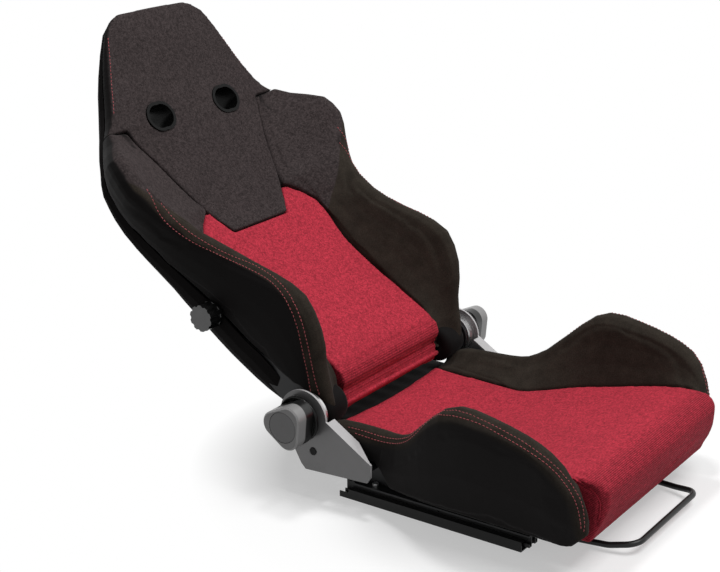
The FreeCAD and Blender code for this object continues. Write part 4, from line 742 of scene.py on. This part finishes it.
# The tuck above the foot of the pad, and the ribbed band about it
TUCK = [Vector((x, -0.02, -0.005)) for x in np.linspace(-0.149, 0.149, 60)]
TUCK_DEPTH = 0.009
TUCK_WIDTH = 0.012
PAD_RIB_HEIGHT = 0.012
PAD_RIB_REACH = 0.045
pad = upholster("back_pad", "back_pad_cover", BACK, PAD_VOXEL, 20, CUSHION_CAP)
groove(pad, [place for place, _ in on_surface(pad, TUCK)], TUCK_DEPTH, TUCK_WIDTH)
points = points_of(pad.data)
mark(pad, "rib", 0.9 - np.abs(points[:, 2] - PAD_RIB_HEIGHT) / PAD_RIB_REACH)
finish_soft(pad, "back_pad", "backrest", RED_BACK)

# The ribs begin on the cushion's front roll and are full on its front face
CUSHION_RIB_START = -0.262
CUSHION_RIB_FADE = 0.03
GUSSET_DEPTH = 0.0026
PIPING_RADIUS = 0.0011
cushion = upholster("base_cushion", "seat_cushion", BASE, CUSHION_VOXEL, 24, CUSHION_CAP)
gusset = smooth_line(seen(cushion, GUSSET_PIXELS), 8)
for row, (suffix, side) in zip((gusset, mirrored(gusset)), SIDES):
    groove(cushion, row, GUSSET_DEPTH, GUSSET_DEPTH)
    piping("cushion_piping_" + suffix, cushion, row, PIPING_RADIUS, "seat_base")
points = points_of(cushion.data)
mark(cushion, "rib", (CUSHION_RIB_START - points[:, 1]) / CUSHION_RIB_FADE)
finish_soft(cushion, "base_cushion", "seat_base", RED_BASE)


def welt():
    """The sewn lip along the foot of the pad, with its ends turned back round the corners."""
    half, height, end = 0.148, -0.0155, Vector((0.1515, 0.012, -0.0145))
    thick, tall = 0.0062, 0.0046
    path = mirrored([end])
    for x in np.linspace(-half, half, 50):
        path.append(Vector((x, -0.0035 + 0.004 * (abs(x) / half) ** 12, height)))
    path.append(end)
    vertices, faces = [], []
    sides = 16
    for k, point in enumerate(path):
        heading = (path[min(k + 1, len(path) - 1)] - path[max(k - 1, 0)]).normalized()
        across = heading.cross(Vector((0, 0, 1))).normalized()
        rise = across.cross(heading)
        girth = 0.6 if k in (0, len(path) - 1) else 1.0
        for side in range(sides):
            angle = 2 * pi * side / sides
            vertices.append(point + (across * cos(angle) * thick + rise * sin(angle) * tall) * girth)
    tape(vertices, faces, sides, len(path))
    finished("back_pad_welt", vertices, faces, RED_BACK, "backrest", BACK)


def tail():
    """The tail of the cushion's cover, under the pad and just below the arc that the shell's foot makes."""
    # Place along Y, underside and top
    sections = (
        (0.1995, 0.0895, 0.0950), (0.206, 0.0885, 0.0968), (0.216, 0.0880, 0.0974), (0.228, 0.0880, 0.0976),
        (0.240, 0.0880, 0.0976), (0.252, 0.0880, 0.0974), (0.262, 0.0885, 0.0970), (0.269, 0.0895, 0.0962),
        (0.2715, 0.0920, 0.0940))
    front, rear = sections[0][0], sections[-1][0]
    half = 0.205
    # Beyond this half width it starts further back, behind the bolsters
    narrow, step_back, step_width = 0.146, 0.0125, 0.006
    vertices, faces = [], []
    across = np.linspace(-half, half, 61)
    for y, low, high in sections:
        top, bottom = [], []
        for x in across:
            start = front + step_back * min(1.0, max(0.0, (abs(x) - narrow) / step_width))
            place = rear - (rear - y) * (rear - start) / (rear - front)
            droop = 0.003 * (abs(x) / half) ** 12
            top.append(Vector((x, place, high - droop + 0.0006 * sin(x * 150))))
            bottom.append(Vector((x, place, low + droop)))
        vertices += top + bottom[::-1]
    tape(vertices, faces, 2 * len(across), len(sections))
    piece = finished("cushion_tail", vertices, faces, BLACK_BASE, "seat_base", BASE)
    mark(piece, "side", np.ones(len(vertices)))


welt()
tail()

# Profiles: how far out from the middle of the seat, and the radius
BEZEL = ((0.2422, 0.0085), (0.2422, 0.0270), (0.2440, 0.0290), (0.2500, 0.0290), (0.2504, 0.0375),
         (0.2518, 0.0390), (0.2560, 0.0390), (0.2574, 0.0378), (0.2574, 0.0366), (0.2560, 0.0358),
         (0.2545, 0.0355), (0.2545, 0.0085))
PLUG = ((0.2365, 0.0044), (0.2370, 0.0050), (0.2420, 0.0052), (0.2422, 0.0070), (0.2428, 0.0069),
        (0.2431, 0.0060), (0.2428, 0.0040))
BOOT = ((0.1560, 0.0120), (0.1565, 0.0260), (0.1600, 0.0320), (0.1660, 0.0340), (0.2040, 0.0340),
        (0.2100, 0.0320), (0.2135, 0.0260), (0.2140, 0.0120))
PIVOT_Y, PIVOT_Z = HINGE["pos_m"][1:]
PLUG_Y, PLUG_Z = 0.198, 0.090
for suffix, side in SIDES:
    # A round cloth boot about the hinge, which looks the same however far the back leans
    boot = turned("hinge_boot_" + suffix, PIVOT_Y, PIVOT_Z, side, BOOT, BLACK_BACK, "backrest",
                  hollow=True)
    mark(boot, "side", np.ones(len(boot.data.vertices)))
    ring = turned("recliner_ring_" + suffix, PIVOT_Y, PIVOT_Z, side, BEZEL, FINISHES["bezel_black"],
                  "seat_base", hollow=True)
    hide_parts("recliner_bezel_" + suffix)
    turned("bracket_plug_" + suffix, PLUG_Y, PLUG_Z, side, PLUG, FINISHES["slot_gloss"], "seat_base")


# Floor, backdrop and lights

def add_stage():
    mesh = bpy.data.meshes.new("floor")
    reach = 12.0
    mesh.from_pydata([(-reach, -reach, 0), (reach, -reach, 0), (reach, reach, 0), (-reach, reach, 0)], [],
                     [(0, 1, 2, 3)])
    floor = new_piece("floor", mesh)
    shader = Shader("floor_paper", Roughness=0.9, Specular_IOR_Level=0.1)
    tree = shader.tree
    output = tree.nodes["Material Output"]
    shader.output(Base_Color=colour(0.62, 0.62, 0.62))
    glow = shader.add("Emission", {"Color": colour(1, 1, 1), "Strength": 0.44}).outputs[0]
    lit = shader.add("AddShader", {0: shader.principled.outputs[0], 1: glow}).outputs[0]
    white = shader.add("Emission", {"Color": colour(1, 1, 1), "Strength": 1.0}).outputs[0]
    # The shadow fades out round an oval about the base
    half_x, half_y, shift_y = 0.36, 0.44, 0.05
    to_oval = {0: shader.place, 1: (1 / half_x, 1 / half_y, 0), 2: (0, shift_y / half_y, 0)}
    oval = shader.add("VectorMath", to_oval, operation="MULTIPLY_ADD").outputs[0]
    away = shader.add("VectorMath", {0: oval}, operation="LENGTH").outputs["Value"]
    fade = shader.spread(away, 0.95, 1.35)
    seen_floor = shader.add("MixShader", {0: fade, 1: lit, 2: white}).outputs[0]
    plain = shader.add("BsdfDiffuse", {"Color": colour(0.5, 0.5, 0.5)}).outputs[0]
    path = shader.add("LightPath").outputs
    looking = shader.math("MAXIMUM", path["Is Camera Ray"], path["Is Glossy Ray"])
    chosen = shader.add("MixShader", {0: looking, 1: plain, 2: seen_floor}).outputs[0]
    tree.links.new(chosen, output.inputs["Surface"])
    mesh.materials.append(shader.material)

    world = bpy.data.worlds.new("studio")
    SCENE.world = world
    world.use_nodes = True
    nodes = world.node_tree.nodes
    links = world.node_tree.links
    background = nodes["Background"]
    background.inputs["Color"].default_value = colour(1, 1, 1)
    light_path = nodes.new("ShaderNodeLightPath")
    seen_ray = nodes.new("ShaderNodeMath")
    seen_ray.operation = "MAXIMUM"
    links.new(light_path.outputs["Is Camera Ray"], seen_ray.inputs[0])
    links.new(light_path.outputs["Is Glossy Ray"], seen_ray.inputs[1])
    ambient = nodes.new("ShaderNodeMapRange")
    links.new(seen_ray.outputs[0], ambient.inputs["Value"])
    ambient.inputs["To Min"].default_value = 0.2
    ambient.inputs["To Max"].default_value = 1.0
    links.new(ambient.outputs["Result"], background.inputs["Strength"])


def add_lamp(name, place, target, size, power):
    data = bpy.data.lights.new(name, "AREA")
    data.shape = "RECTANGLE"
    data.size, data.size_y = size
    data.energy = power
    lamp = bpy.data.objects.new(name, data)
    SCENE.collection.objects.link(lamp)
    lamp.location = place
    lamp.rotation_euler = (Vector(target) - Vector(place)).to_track_quat("-Z", "Y").to_euler()


add_stage()
SCENE.view_settings.view_transform = "Standard"
add_lamp("key", place=(0.15, -1.25, 2.5), target=(0, 0.05, 0.3), size=(1.5, 1.2), power=42)
add_lamp("overhead", place=(0.1, 0.2, 2.7), target=(0, 0.1, 0.3), size=(0.4, 0.4), power=22)
